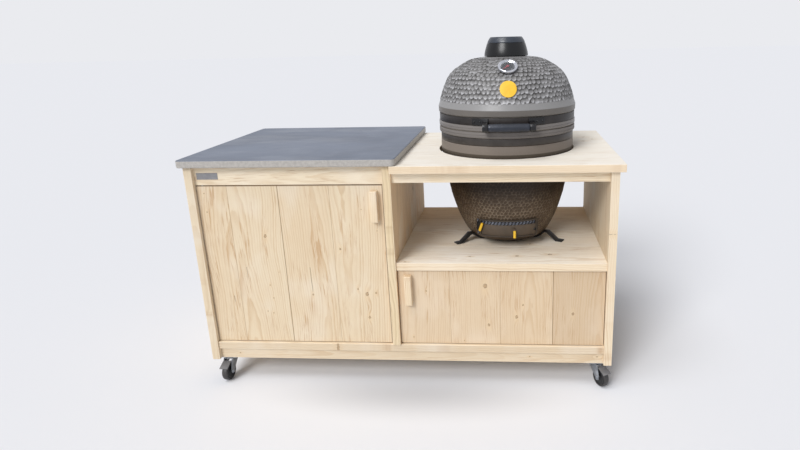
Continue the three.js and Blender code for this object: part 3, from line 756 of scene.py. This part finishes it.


# Hammered hollows with sharp ridges between them, in uneven rows on the wall that the outline gives. A
# vertex keeps how near the ridge it is, and how far it is in the lower half of its hollow (below zero in
# the upper half), which the glaze turns into painted highlight with dust below and painted shade above.
def addHollows(shape, wall, weight, depth, pitch, row):
    ridge = shape.verts.layers.float.new("ridge")
    painted_light_side = shape.verts.layers.float.new("painted_light_side")
    rings, counts = wallRows(wall, pitch, row)

    def centre(level, angle, side):
        count = counts[min(max(level, 0), len(counts) - 1)]
        shift = 0.5 * (level % 2)
        number = math.floor(angle / math.tau * count - shift) + side
        jitter = noise.noise_vector(Vector((7.3 * (number % count), 5.1 * level, 0.5)) * 1.37)
        turn = (number + 0.5 + shift + 0.4 * jitter.x) * math.tau / count
        return turn, (level + 0.42 * jitter.y) * row, jitter.z

    for vert in shape.verts:
        ring = rings.get(round(vert.co.z, 5))
        dx, dy = vert.co.x - axisX, vert.co.y - axisY
        radius = math.hypot(dx, dy)
        if ring is None or abs(radius * 1000 - ring[0]) > 1:
            continue
        share = weight(radius, vert.co.z)
        if share <= 0:
            continue
        angle = math.atan2(dy, dx) + math.pi
        nearest = []
        middle = round(ring[1] / row)
        for level in (middle - 1, middle, middle + 1):
            for side in (-1, 0, 1):
                turn, height, chance = centre(level, angle, side)
                across = (angle - turn) * ring[0]
                nearest.append((math.hypot(across * 1.12, ring[1] - height), ring[1] - height, chance))
        nearest.sort()
        first, second = nearest[:2]
        reach = min(first[0] / (0.5 * (first[0] + second[0])), 1.0) if second[0] else 0.0
        rise = reach ** 2 * (0.86 + 0.5 * first[2]) * share
        outward = Vector((dx / radius, dy / radius, 0))
        normal = outward * ring[2].y - Vector((0, 0, ring[2].x))
        vert.co += normal * depth * (rise - 0.55 * share) / 1000
        vert[ridge] = rise
        # signed place in the hollow: lower half for painted highlight with dust, upper half for painted shade
        vert[painted_light_side] = -first[1] / (0.55 * row) * reach * share


# Ceramic with a matt mineral glaze. A hollow has painted shade in its upper half and is pale with dust and
# painted highlight in its lower half, and the ridges have a tone of their own. Zones, some of them painted
# shade or painted highlight, and the painted top shade say from and up to which level.
def makeGlaze(name, tones):
    material, tree, shader, spot = newMaterial(name, Specular_IOR_Level=tones["specular"])
    place = spot["Object"]
    ridge = attributeAt(tree, "ridge")
    painted_light_side = attributeAt(tree, "painted_light_side")
    cloud = noiseAt(tree, place, 9.0, 3.0)
    speck = noiseAt(tree, place, 900.0, 2.0, 0.7)
    colour = mixColours(tree, fade(tree, cloud, 0.3, 0.7), tones["base"], tones["cloud"])
    # painted shade in a hollow's upper half, then painted highlight with dust in its lower half
    colour = mixColours(tree, fade(tree, painted_light_side, 0.1, -0.75, 0.0, tones["depth"]), colour, tones["hollow_shade"])
    colour = mixColours(tree, fade(tree, painted_light_side, 0.0, 0.7, 0.0, tones["dust_and_highlight_share"]), colour, tones["dust_and_highlight"])
    colour = mixColours(tree, fade(tree, ridge, 0.42, 0.86, 0.0, tones["worn"]), colour, tones["ridge"])
    level = splitVector(tree, place)[2]
    blur = 0.0008
    for low, high, shade in tones["zones"]:
        above = fade(tree, level, low - blur, low + blur)
        within = calc(tree, "MULTIPLY", above, fade(tree, level, high + blur, high - blur))
        colour = mixColours(tree, within, colour, shade)
    colour = mixColours(tree, fade(tree, speck, 0.5, 0.75, 0.0, 0.35), colour, tones["speck"])
    # painted shade that darkens the bowl's top under the worktop
    if "top_shade" in tones:
        low, high, shade = tones["top_shade"]
        top_shaded = fade(tree, sway(tree, cloud, 0.03, level), low, high, 0.0, 0.88)
        top_shaded = calc(tree, "MULTIPLY", top_shaded, fade(tree, level, 0.9, 0.885))
        colour = mixColours(tree, top_shaded, colour, shade)
    rough = fade(tree, cloud, 0.2, 0.8, tones["rough"], tones["rough"] + 0.12)
    finishShader(tree, shader, colour, rough, bumpFrom(tree, speck, 0.0003))
    return material


lipTone = (118, 113, 110)
domeGlaze = makeGlaze("dome_glaze", {
    # the hollow tone is painted shade, the rubbed tone is dust and painted highlight
    "base": (137, 136, 137), "cloud": (125, 124, 124), "hollow_shade": (62, 60, 57), "depth": 0.8,
    "dust_and_highlight": (196, 196, 200), "dust_and_highlight_share": 0.75, "worn": 0.95, "ridge": (46, 44, 42), "speck": (116, 114, 113),
    "rough": 0.32, "specular": 0.4,
    # zones: the lip's grey, painted shade on the flare's upright face, and painted highlight on the skirt's
    # upward slope
    "zones": [(1.0, 1.0225, lipTone), (1.05, 1.0775, (106, 101, 96)), (1.0775, 1.1, (140, 139, 139))],
})
bowlGlaze = makeGlaze("bowl_glaze", {
    # the body's base and cloud are a darker brown than the ring's zone: painted shade of the bay on the same
    # ceramic
    "base": (86, 71, 56), "cloud": (77, 63, 49), "hollow_shade": (48, 38, 28), "depth": 0.6,
    # the hollow tone is painted shade, the rubbed tone is dust and painted highlight
    "dust_and_highlight": (130, 115, 98), "dust_and_highlight_share": 0.25, "worn": 0.75, "ridge": (136, 121, 103), "speck": (66, 56, 45),
    "rough": 0.42, "specular": 0.24,
    # zones: the lip, the ring above the worktop, and painted shade along the ring's foot at the worktop
    "zones": [(0.974, 0.9995, lipTone), (0.905, 0.945, (124, 115, 107)), (0.88, 0.913, (80, 72, 63))],
    # painted shade over the bowl's top under the worktop
    "top_shade": (0.66, 0.8, (24, 15, 10)),
})


# Metals, plastics, felt and clay: two near tones in soft clouds, and a fine grain of scratches or pits. The
# grain's scale is one number, or three for a drawn surface.
def makeMetal(name, base, tint, rough, metallic=0.0, grain=400, depth=0.0002, spread=0.14):
    material, tree, shader, spot = newMaterial(name, Metallic=metallic)
    stretch = addNode(tree, "Mapping", vector_type="POINT")
    plug(tree, stretch.inputs["Vector"], spot["Object"])
    stretch.inputs["Scale"].default_value = grain if isinstance(grain, tuple) else (grain,) * 3
    fine = noiseAt(tree, stretch.outputs[0], 1.0, 3.0, 0.6)
    cloud = noiseAt(tree, spot["Object"], 22.0, 3.0, 0.6)
    colour = mixColours(tree, fade(tree, cloud, 0.3, 0.7), base, tint)
    colour = mixColours(tree, fade(tree, fine, 0.45, 0.8, 0.0, 0.3), colour, tint)
    roughness = fade(tree, fine, 0.25, 0.75, rough, rough + spread)
    finishShader(tree, shader, colour, roughness, bumpFrom(tree, fine, depth))
    return material


drawn = {"grain": (60, 60, 900), "depth": 0.0001}
bandSteel = makeMetal("band_steel", (50, 46, 45), (40, 36, 35), 0.34, 0.3, **drawn)
lowBandSteel = makeMetal("low_band_steel", (68, 63, 60), (58, 53, 50), 0.34, 0.3, **drawn)
sliderSteel = makeMetal("slider_steel", (86, 73, 59), (76, 64, 51), 0.45, 0.1, **drawn)
frameSteel = makeMetal("frame_steel", (70, 61, 51), (59, 51, 43), 0.4, 0.2, **drawn)
plateSteel = makeMetal("plate_steel", (150, 150, 152), (132, 132, 135), 0.4, 0.3, (60, 60, 900), 0.00005)
blackSteel = makeMetal("black_steel", (26, 24, 24), (17, 16, 16), 0.4, 0.1)
bracketSteel = makeMetal("bracket_steel", (18, 18, 22), (12, 12, 15), 0.2, 0.1, depth=0.0001)
castIron = makeMetal("cast_iron", (6, 7, 11), (4, 5, 8), 0.26, depth=0.00004, spread=0.08)
setShader(castIron, Specular_IOR_Level=0.42)
# the lid's cast iron is a paler blue-grey than the body's, as painted reflection of the sky on its slope
capIronPaintedSky = makeMetal("cap_iron_painted_sky", (44, 52, 64), (34, 41, 52), 0.28, depth=0.00006)
setShader(capIronPaintedSky, Specular_IOR_Level=0.65)
roughIron = makeMetal("rough_iron", (44, 42, 42), (30, 28, 28), 0.55, 0.6, depth=0.0005)
zincPlate = makeMetal("zinc", (188, 193, 200), (160, 166, 174), 0.22, 0.95, 180)
forkSteel = makeMetal("fork_steel", (176, 180, 186), (132, 136, 142), 0.34, 0.75, 180)
chromePlate = makeMetal("chrome", (222, 223, 228), (186, 188, 195), 0.08, 1.0, depth=0.00003, spread=0.05)
steelWire = makeMetal("grate_steel", (150, 150, 153), (122, 121, 122), 0.26, 0.95, 300)
slateGrip = makeMetal("slate_grip", (46, 50, 60), (36, 40, 49), 0.26, 0.2, (900, 120, 120), 0.0001)
blackPlastic = makeMetal("black_plastic", (52, 53, 56), (42, 43, 46), 0.4, 0.0, 700, 0.0003)
pedalPlastic = makeMetal("pedal_plastic", (116, 115, 116), (100, 99, 100), 0.5, 0.0, 700, 0.0003)
tyreRubber = makeMetal("tyre", (22, 21, 23), (15, 15, 17), 0.4, 0.0, 300, 0.0003)
fireclay = makeMetal("fireclay", (206, 186, 156), (184, 162, 132), 0.82, 0.0, 160, 0.0006)
felt = makeMetal("felt", (128, 120, 110), (104, 97, 89), 0.92, 0.0, (1500, 1500, 600), 0.0008)
needleRed = makeMetal("needle_red", (168, 28, 48), (140, 22, 40), 0.35)
signalYellow = makeMetal("signal_yellow", (242, 196, 52), (232, 180, 40), 0.45)
dialBlack = makeMetal("dial_black", (24, 22, 28), (16, 15, 20), 0.4)
tickWhite = makeMetal("tick_white", (228, 228, 232), (214, 214, 220), 0.5)
gaugeGlass = makeMetal("gauge_glass", (220, 226, 232), (206, 212, 220), 0.03, depth=0.00001, spread=0.04)
setShader(gaugeGlass, Alpha=0.05)


# The tyre's tread is a paler grey where its own vertex values say so.
def greyTread(material, tone):
    tree = material.node_tree
    base = setShader(material).inputs["Base Color"]
    plug(tree, base, mixColours(tree, attributeAt(tree, "tread"), base.links[0].from_socket, tone))


greyTread(tyreRubber, (58, 56, 56))

# Perforated sheet: rows of slanted slots painted dark as the shade seen through them, in bright steel
meshValues = {
    "radius": 0.213, "slot": 0.014, "row": 0.01, "slant": 0.9, "solid": 0.214,
    "steel": [(138, 142, 154), (102, 105, 116)], "hole": (24, 22, 22),
}


def makeMesh(values):
    material, tree, shader, spot = newMaterial("mesh_steel", Metallic=0.4, Roughness=0.36)
    x, y, z = splitVector(tree, spot["Object"])
    across = calc(tree, "SUBTRACT", x, axisX)
    around = calc(tree, "ARCTAN2", across, calc(tree, "SUBTRACT", axisY, y))
    slanted = calc(tree, "MULTIPLY_ADD", z, values["slant"], calc(tree, "MULTIPLY", around, values["radius"]))
    waves = calc(tree, "SINE", calc(tree, "MULTIPLY", slanted, math.tau / values["slot"]))
    rows = calc(tree, "SINE", calc(tree, "MULTIPLY", z, math.tau / values["row"]))
    hole = fade(tree, calc(tree, "MULTIPLY", waves, rows), -0.35, 0.05)
    apart = flatLength(tree, across, calc(tree, "SUBTRACT", y, axisY))
    hole = calc(tree, "MAXIMUM", hole, fade(tree, apart, values["solid"], values["solid"] + 0.0005))
    grime = fade(tree, noiseAt(tree, spot["Object"], 60.0, 3.0), 0.3, 0.7)
    steel = mixColours(tree, grime, *values["steel"])
    plug(tree, shader.inputs["Base Color"], mixColours(tree, hole, steel, values["hole"]))
    return material


meshSteel = makeMesh(meshValues)
print("materials done")

# Dome, from its rim over the wall and through the flue to its inside, as (radius, level) in millimetres
domeValues = {
    "steps": 528, "wallStep": 3.4, "insideStep": 14, "hollows": {"depth": 3.6, "pitch": 19.5, "row": 17.5},
    "rim": [
        (272, 901.3), (274.3, 902.4), (275.2, 904), (275.5, 906), (275.5, 908.6), (274.4, 909.6),
        (274.4, 911), (275.5, 912), (275.5, 918), (274.8, 920.4), (272.6, 921.7), (270, 921.7),
        (270, 951.3), (275.2, 955.4), (275.9, 956.4), (276, 958), (276.1, 960), (276.45, 974.5),
        (276.5, 976.8),
    ],
    "wall": [
        (276.5, 978), (271, 993), (259, 1031), (244, 1070), (215, 1110), (155, 1148), (100, 1161),
        (66, 1165),
    ],
    "flue": [(66, 1190), (50, 1190)],
    "inside": [
        (50, 1144), (95, 1140), (144, 1130), (188, 1108), (218, 1072), (238, 1030), (248, 985),
        (250, 925),
    ],
    "foot": [(250, 901.3)],
}


def domeWeight(radius, z):
    return ease(z, 1.094, 1.108) * ease(radius, 0.088, 0.125)


def makeBand(name, inner, outer, low, high, material, body, replaced):
    band = spunShape([(inner, low), (outer, low), (outer, high), (inner, high)], 192)
    softenEdges(band, 0.0006)
    newPiece(name, band, material, body, (replaced,))


domeWall = smoothOutline(domeValues["wall"], domeValues["wallStep"])
domeInside = smoothOutline(domeValues["inside"], domeValues["insideStep"])
dome = spunShape(domeValues["rim"] + domeWall + domeValues["flue"] + domeInside + domeValues["foot"],
                 domeValues["steps"])
addHollows(dome, domeWall, domeWeight, **domeValues["hollows"])
newPiece("dome_shell", dome, domeGlaze, "dome", ("dome",))
makeBand("dome_band", 270.3, 273, 922, 951, bandSteel, "dome", "upper_band")
print("dome done")

# Bowl, from the middle of its foot over the wall and the rim to its floor inside. The draft port's levels
# are metres over the floor.
bowlValues = {
    "steps": 528, "wallStep": 3.4, "hollows": {"depth": 1.7, "pitch": 14.5, "row": 13},
    "port": {"halfAngle": 27, "low": 0.586, "high": 0.630},
    "foot": [(0, 429), (60, 429), (118, 429), (142, 434)],
    "wall": [
        (158, 444), (170, 456), (189, 490), (210, 538), (230, 600), (239.5, 641), (261.5, 750),
        (270, 810),
    ],
    "rim": [
        (270.2, 830), (269.5, 843), (266, 846.7), (266, 873.3), (270, 874.6), (274, 877), (275, 880),
        (275, 884.6), (273.9, 885.6), (273.9, 887), (275, 888), (275, 893.6), (274.2, 896.6), (272, 898),
        (250, 898),
    ],
    "inside": [
        (246, 870), (237, 800), (227, 716), (218, 641), (192, 565), (167, 490), (148, 457), (134, 447),
    ],
    "floor": [(60, 447), (0, 447)],
}


def bowlWeight(radius, z):
    return ease(z, 0.552, 0.575) * ease(z, 0.9, 0.884)


def inPort(point):
    port = bowlValues["port"]
    around = math.degrees(math.atan2(point.x - axisX, -(point.y - axisY)))
    return abs(around) < port["halfAngle"] and port["low"] < point.z < port["high"]


# Cuts the faces that a rule names out of both skins of a shell, and closes the cut's sides.
def cutThrough(shape, rule):
    gone = [face for face in shape.faces if rule(face.calc_center_median())]
    bmesh.ops.delete(shape, geom=gone, context="FACES")
    bmesh.ops.bridge_loops(shape, edges=[edge for edge in shape.edges if edge.is_boundary])


bowlWall = smoothOutline(bowlValues["wall"], bowlValues["wallStep"])
bowlInside = bowlValues["rim"] + bowlValues["inside"] + bowlValues["floor"]
bowl = spunShape(bowlValues["foot"] + bowlWall + bowlInside, bowlValues["steps"])
cutThrough(bowl, inPort)
addHollows(bowl, bowlWall, bowlWeight, **bowlValues["hollows"])
turnWithGrill(bowl)
newPiece("bowl_shell", bowl, bowlGlaze, "kamado", ("bowl",))
makeBand("bowl_band", 266.3, 269, 847, 873, lowBandSteel, "kamado", "lower_band")
gasket = spunShape([(251, 898.3), (271, 898.3), (271, 901), (251, 901)], 192)
newPiece("felt_ring", gasket, felt, "kamado", ("gasket",))
print("bowl done")

# Fire pieces inside the bowl
easedCopy("firebox", fireclay, 0.002, 50)
ring = spunShape([(202, 700.3), (220, 700.3), (234, 868), (216, 868)], 128)
softenEdges(ring, 0.003, 3)
newPiece("fire_ring_shell", ring, fireclay, "kamado", ("fire_ring",))
easedCopy("charcoal_grate", roughIron, 0.0012)
easedCopy("cooking_grate", steelWire, 0.0008)
print("fire pieces done")

# Vent: a body and a lid, each with five petal openings between two radii in metres
ventValues = {
    "steps": 120, "petals": 5, "petalFrom": 0.016, "petalTo": 0.044, "petalHalfAngle": 15,
    "body": [
        (0, 1208), (16, 1208), (44, 1208), (52, 1208), (52, 1190.4), (67, 1190.4), (67, 1176),
        (80, 1165.8), (86.4, 1165.8), (87, 1166.6), (86.6, 1172), (85.2, 1181), (83, 1190), (80.2, 1200),
        (77.6, 1208), (76.3, 1212), (75.6, 1214.2), (74.5, 1215), (44, 1215), (16, 1215), (0, 1215),
    ],
    "lid": [
        (0, 1215.4), (16, 1215.4), (44, 1215.4), (73.2, 1215.4), (74, 1216.2), (73.8, 1219),
        (71.4, 1224.4), (68, 1230), (64.6, 1234.8), (62, 1237.2), (59.6, 1238), (56, 1238), (55, 1237),
        (55, 1222), (44, 1222), (16, 1222), (0, 1222),
    ],
}


def ventPart(name, outline, first, material, body, replaced):
    shape = spunShape(outline, ventValues["steps"])
    pitch = 360 / ventValues["petals"]
    for petal in range(ventValues["petals"]):
        middle = first + petal * pitch

        def inPetal(point):
            dx, dy = point.x - axisX, point.y - axisY
            around = math.degrees(math.atan2(dx, -dy)) - middle
            apart = abs((around + 180) % 360 - 180)
            reach = ventValues["petalFrom"] < math.hypot(dx, dy) < ventValues["petalTo"]
            return reach and apart < ventValues["petalHalfAngle"]

        cutThrough(shape, inPetal)
    turnWithGrill(shape)
    newPiece(name, shape, material, body, (replaced,))


ventPart("vent_base", ventValues["body"], 0, castIron, "dome", "vent_body")
ventPart("vent_cap", ventValues["lid"], 36, capIronPaintedSky, "vent_lid", "vent_lid")
print("vent done")

# Thermometer, in a frame of its own on the dome's slope. Outlines are (radius, height over the slope), and
# ticks have sizes in millimetres and places in metres.
gaugeValues = {
    "centre": (0.404808, -0.207965, 1.225133), "slope": math.asin(0.826682), "steps": 96,
    "case": [
        (0, -70), (1.5, -69), (3, -66), (3, 0.8), (31, 0.8), (33, 1.2), (36, 3.4), (37, 5), (37, 9.5),
        (36.4, 12), (35, 13.6), (33.4, 14), (31.8, 13.4), (30.9, 12.6), (30.6, 11.9), (25.8, 9.6),
        (25.4, 9), (0, 9),
    ],
    "dial": [(0, 9.05), (25.3, 9.05), (25.3, 9.35), (0, 9.35)],
    "glass": [(0, 12.0), (30.2, 12.0), (30.2, 12.5), (0, 12.5)],
    "hub": [(0, 11.05), (5.6, 11.05), (5.6, 11.4), (4.4, 11.8), (0, 11.8)],
    "ticks": {"count": 19, "from": 135, "apart": 15, "outer": 0.0242, "height": 0.00945, "thick": 0.25},
    "longTick": {"every": 3, "length": 4.6, "width": 0.7}, "shortTick": {"length": 2.8, "width": 0.45},
}
gauge = Matrix.Translation(gaugeValues["centre"]) @ Matrix.Rotation(grillTurn, 4, "Z")
gauge = gauge @ Matrix.Rotation(math.pi / 2 - gaugeValues["slope"], 4, "X")


def gaugePiece(name, part, material, body="dome", replaced=()):
    shape = turnedShape(gaugeValues[part], gauge, gaugeValues["steps"])
    newPiece(name, shape, material, body, replaced)


def makeTicks(values):
    ticks = bmesh.new()
    for step in range(values["count"]):
        size = gaugeValues["longTick" if step % gaugeValues["longTick"]["every"] == 0 else "shortTick"]
        made = bmesh.ops.create_cube(ticks, size=0.001)["verts"]
        sized = Matrix.Diagonal((size["width"], size["length"], values["thick"], 1))
        shifted = Matrix.Translation((0, values["outer"] - size["length"] / 2000, values["height"]))
        spun = Matrix.Rotation(math.radians(values["from"] - values["apart"] * step), 4, "Z")
        bmesh.ops.transform(ticks, matrix=gauge @ spun @ shifted @ sized, verts=made)
    newPiece("dial_ticks", ticks, tickWhite, "dome")


gaugePiece("thermometer_case", "case", chromePlate, "dome", ("thermometer",))
easedCopy("thermometer_pointer", needleRed, 0.0002)
gaugePiece("dial", "dial", dialBlack)
gaugePiece("dial_glass", "glass", gaugeGlass)
gaugePiece("pointer_hub", "hub", needleRed, "thermometer_pointer")
makeTicks(gaugeValues["ticks"])
print("thermometer done")

# Handle: a rounded grip with bevelled ends, on two brackets, and bolts. Outlines are (radius, place) in
# millimetres, a bolt's place is (degrees, radius, level) on the grill.
gripValues = {
    "reach": 0.311, "level": 1.022, "steps": 64,
    "half": [(0, -75.7), (11, -75.7), (12.4, -75), (13.8, -72), (14.3, -66), (15, -30)],
}
gripCentre = Vector((axisX, axisY - gripValues["reach"], gripValues["level"]))
gripOutline = gripValues["half"] + mirrored(gripValues["half"])
gripPoints = [gripCentre + Vector((along, -radius, 0)) / 1000 for radius, along in gripOutline]
grip = spinPoints(gripPoints, gripCentre, (1, 0, 0), gripValues["steps"])
turnWithGrill(grip)
newPiece("grip", grip, slateGrip, "dome", ("handle_grip",))
boltValues = {
    "outline": [(0, 1.5), (1.6, 1.5), (1.7, 2.8), (2.6, 2.6), (4, 1.6), (4.6, 0.4), (4.6, -0.6), (0, -0.6)],
    "strapAngles": (-27.2, -22.4, 22.4, 27.2), "strapPlace": (277.3, 937),
    "knobPlace": (28.5, 217.9, 500), "knobScale": 1.15,
}


# A domed bolt head whose axis points away from the grill's axis
def boltHead(name, degrees, radius, level, body, scale=1.0):
    place = grillFrame @ Matrix.Rotation(math.radians(degrees), 4, "Z")
    place = place @ Matrix.Translation((0, -radius / 1000, level / 1000))
    place = place @ Matrix.Rotation(math.pi / 2, 4, "X")
    outline = [(size * scale, height * scale) for size, height in boltValues["outline"]]
    newPiece(name, turnedShape(outline, place, 24), bracketSteel, body)


for sideName in ("left", "right"):
    easedCopy("handle_bracket_" + sideName, bracketSteel, 0.0012)
for number, degrees in enumerate(boltValues["strapAngles"]):
    boltHead(f"strap_bolt_{number + 1}", degrees, *boltValues["strapPlace"], "dome")
print("handle done")

# Hinge, stand and draft door, with a soft yellow sleeve on each tab of the door. A sleeve's ends are
# (degrees, radius, level) on the grill.
easedCopy("hinge_base", blackSteel, 0.0006)
easedCopy("hinge_arm", blackSteel, 0.0006)
easedCopy("grill_stand", blackSteel, 0.0008)
easedCopy("draft_frame", frameSteel, 0.0008)
easedCopy("draft_slider", sliderSteel, 0.0005)
easedCopy("draft_screen", meshSteel, 0.0004)
sleeveValues = {
    "radius": 5.2, "bevel": 1.2, "slider": [(5.5, 235, 476), (5.5, 235, 506)],
    "screen": [(-27.2, 228, 529), (-30.4, 228, 496)],
}


def makeSleeve(part):
    first, last = (roundGrill(*end) for end in sleeveValues[part])
    span = last - first
    length = span.length * 1000
    radius = sleeveValues["radius"]
    bevel = sleeveValues["bevel"]
    narrow = radius * 0.7
    outline = [(0, 0), (narrow, 0), (radius, bevel), (radius, length - bevel), (narrow, length), (0, length)]
    place = Matrix.Translation(first) @ span.to_track_quat("Z", "Y").to_matrix().to_4x4()
    newPiece(part + "_sleeve", turnedShape(outline, place, 32), signalYellow, bodyOf("draft_" + part))


makeSleeve("slider")
makeSleeve("screen")
boltHead("slider_knob", *boltValues["knobPlace"], bodyOf("draft_slider"), boltValues["knobScale"])
print("draft door done")

# A plain round plate that follows the dome's front, in millimetres, and a blank plate on the left rail, in
# metres
plateValues = {
    "level": 1055, "lift": 2.8, "rings": [0, 8, 16, 24, 30, 31], "thick": 1.1,
    "railCentre": (-0.719, -0.3635, 0.8615), "railSize": (0.082, 0.001, 0.025, 1),
}
levelOff = [abs(point[1] - plateValues["level"]) for point in domeWall]
plateBase = levelOff.index(min(levelOff))


def wallStep(place):
    return Vector(domeWall[place + 1]) - Vector(domeWall[place])


# A point on the dome's wall, from the plate's centre across and up along the wall
def onDome(across, along, lift):
    place = plateBase
    left = along
    while left > 0 and wallStep(place).length <= left:
        left -= wallStep(place).length
        place += 1
    while left < 0:
        place -= 1
        left += wallStep(place).length
    way = wallStep(place).normalized()
    spot = Vector(domeWall[place]) + way * left + Vector((way.y, -way.x)) * lift
    return roundGrill(math.degrees(across / spot.x), spot.x, spot.y)


plate = spinPoints([(size, 0, 0) for size in plateValues["rings"]], (0, 0, 0), (0, 0, 1), 64)
bmesh.ops.remove_doubles(plate, verts=plate.verts, dist=0.0001)
for vert in plate.verts:
    vert.co = onDome(vert.co.x, vert.co.y, plateValues["lift"])
bmesh.ops.recalc_face_normals(plate, faces=plate.faces)
bmesh.ops.solidify(plate, geom=plate.faces[:], thickness=-plateValues["thick"] / 1000)
newPiece("front_plate", plate, signalYellow, "dome")
plate = bmesh.new()
made = bmesh.ops.create_cube(plate, size=1)["verts"]
placed = Matrix.Translation(plateValues["railCentre"]) @ Matrix.Diagonal(plateValues["railSize"])
bmesh.ops.transform(plate, matrix=placed, verts=made)
newPiece("rail_plate", plate, plateSteel, bodyOf("left_top_rail"))
print("plates done")

# Doors' rods and catches
for sideName in ("left", "right"):
    easedCopy(sideName + "_door_pivot_rod", zincPlate, 0.0004)
    easedCopy(sideName + "_door_catch", blackPlastic, 0.0015)
print("door fittings done")

# Casters: each wheel turns on its axle in a pressed fork that trails from the swivel. A place is x and y
# in metres and a heading in degrees, the wheel's outline is (radius, place) in millimetres.
casterValues = {
    "places": {
        "front_left": (-0.75, -0.33, -92), "front_right": (0.75, -0.33, -60),
        "back_left": (-0.75, 0.33, -75), "back_right": (0.75, 0.33, -110),
    },
    "axleHeight": 0.0375, "trail": 0.03, "steps": 72, "tread": (0.0335, 0.0365),
    "half": [
        (5.8, -14.5), (10, -14.5), (11, -14), (12, -12), (24, -10.4), (25.5, -11), (27, -12), (31, -12.9),
        (34, -12), (36.2, -9.6), (37.2, -6), (37.5, -2),
    ],
}


def makeWheel(name, x, y, heading):
    outline = casterValues["half"] + mirrored(casterValues["half"])
    points = [(radius / 1000, across / 1000, 0) for radius, across in outline]
    wheel = spinPoints(points, (0, 0, 0), (0, 1, 0), casterValues["steps"], close=True)
    tread = wheel.verts.layers.float.new("tread")
    for vert in wheel.verts:
        vert[tread] = ease(math.hypot(vert.co.x, vert.co.z), *casterValues["tread"])
    turn = Matrix.Translation((x, y, casterValues["axleHeight"]))
    turn = turn @ Matrix.Rotation(math.radians(heading), 4, "Z")
    turn = turn @ Matrix.Translation((casterValues["trail"], 0, 0))
    bmesh.ops.transform(wheel, matrix=turn, verts=wheel.verts)
    newPiece("wheel_" + name, wheel, tyreRubber, f"caster_{name}_wheel", (f"caster_{name}_wheel",))


for corner, place in casterValues["places"].items():
    makeWheel(corner, *place)
    easedCopy(f"caster_{corner}_plate", zincPlate, 0.0005)
    easedCopy(f"caster_{corner}_fork", forkSteel, 0.0005)
    if corner.startswith("front"):
        easedCopy(f"caster_{corner}_pedal", pedalPlastic, 0.0008)
print("casters done")

# Floor, with a painted soft shadow before the table
floorValues = {
    "size": 60, "pale": (233, 234, 238), "paintedShadow": (198, 199, 203), "centre": (0.04, -0.44),
    "reach": (0.72, 0.2),
}


def makeFloor(values):
    material, tree, shader, spot = newMaterial("floor", Roughness=1.0, Specular_IOR_Level=0.0)
    shares = []
    for place, middle, reach in zip(splitVector(tree, spot["Object"]), values["centre"], values["reach"]):
        shares.append(calc(tree, "DIVIDE", calc(tree, "SUBTRACT", place, middle), reach))
    # the painted shadow: a soft ellipse before the table
    paintedShadow = fade(tree, flatLength(tree, *shares), 1.0, 0.0)
    plug(tree, shader.inputs["Base Color"], mixColours(tree, paintedShadow, values["pale"], values["paintedShadow"]))
    return material


floorShape = bmesh.new()
bmesh.ops.create_grid(floorShape, x_segments=1, y_segments=1, size=floorValues["size"])
floorMesh = bpy.data.meshes.new("floor")
floorShape.to_mesh(floorMesh)
floorShape.free()
floorMesh.materials.append(makeFloor(floorValues))
floor = newObject("floor", floorMesh)
print("floor done")

# Light: an even sky, a soft low key from the front left, and a weaker lamp from above. The sky is pale to
# the camera and in reflections, and lights the object at less than half that level.
lightValues = {
    "sky": (234, 235, 239), "seen": 1.0, "given": 0.42,
    "lamps": {
        "key": {"energy": 1.85, "spread": 25, "from": (-0.38, -0.78, 0.6)},
        "top": {"energy": 1.1, "spread": 30, "from": (-0.36, -0.3, 1.0)},
    },
}
world = bpy.data.worlds.new("world")
world.use_nodes = True
skyTree = world.node_tree
sky = skyTree.nodes["Background"]
sky.inputs["Color"].default_value = srgb(*lightValues["sky"])
rays = addNode(skyTree, "LightPath").outputs
pale = calc(skyTree, "MAXIMUM", rays["Is Camera Ray"], rays["Is Glossy Ray"])
pale = calc(skyTree, "MAXIMUM", pale, rays["Is Transmission Ray"])
strength = fade(skyTree, pale, 0.0, 1.0, lightValues["given"], lightValues["seen"])
plug(skyTree, sky.inputs["Strength"], strength)
bpy.context.scene.world = world
for lampName, lampValues in lightValues["lamps"].items():
    lampData = bpy.data.lights.new(lampName, "SUN")
    lampData.energy = lampValues["energy"]
    lampData.angle = math.radians(lampValues["spread"])
    lamp = newObject(lampName, lampData)
    lamp.rotation_euler = Vector(lampValues["from"]).to_track_quat("Z", "Y").to_euler()
bpy.context.scene.view_settings.view_transform = "Standard"

# Camera, fitted to the photograph's straight edges. Its angles are in radians.
view = {
    "place": (0.41995, -2.38029, 1.32993), "tilt": 0.27172, "roll": -0.0250019, "turn": -0.0768231,
    "sensor": 36, "lens": 25.8272, "shiftX": -0.08719, "shiftY": -0.03164, "clipEnd": 200,
}
forward = Vector((math.sin(view["turn"]) * math.cos(view["tilt"]),
                  math.cos(view["turn"]) * math.cos(view["tilt"]), -math.sin(view["tilt"])))
level = Vector((math.cos(view["turn"]), -math.sin(view["turn"]), 0.0))
upright = level.cross(forward)
side = level * math.cos(view["roll"]) + upright * math.sin(view["roll"])
top = upright * math.cos(view["roll"]) - level * math.sin(view["roll"])
cameraData = bpy.data.cameras.new("camera")
cameraData.sensor_width = view["sensor"]
cameraData.lens = view["lens"]
cameraData.shift_x = view["shiftX"]
cameraData.shift_y = view["shiftY"]
cameraData.clip_end = view["clipEnd"]
camera = newObject("camera", cameraData)
camera.matrix_world = Matrix.Translation(view["place"]) @ Matrix((side, top, -forward)).transposed().to_4x4()
bpy.context.scene.camera = camera
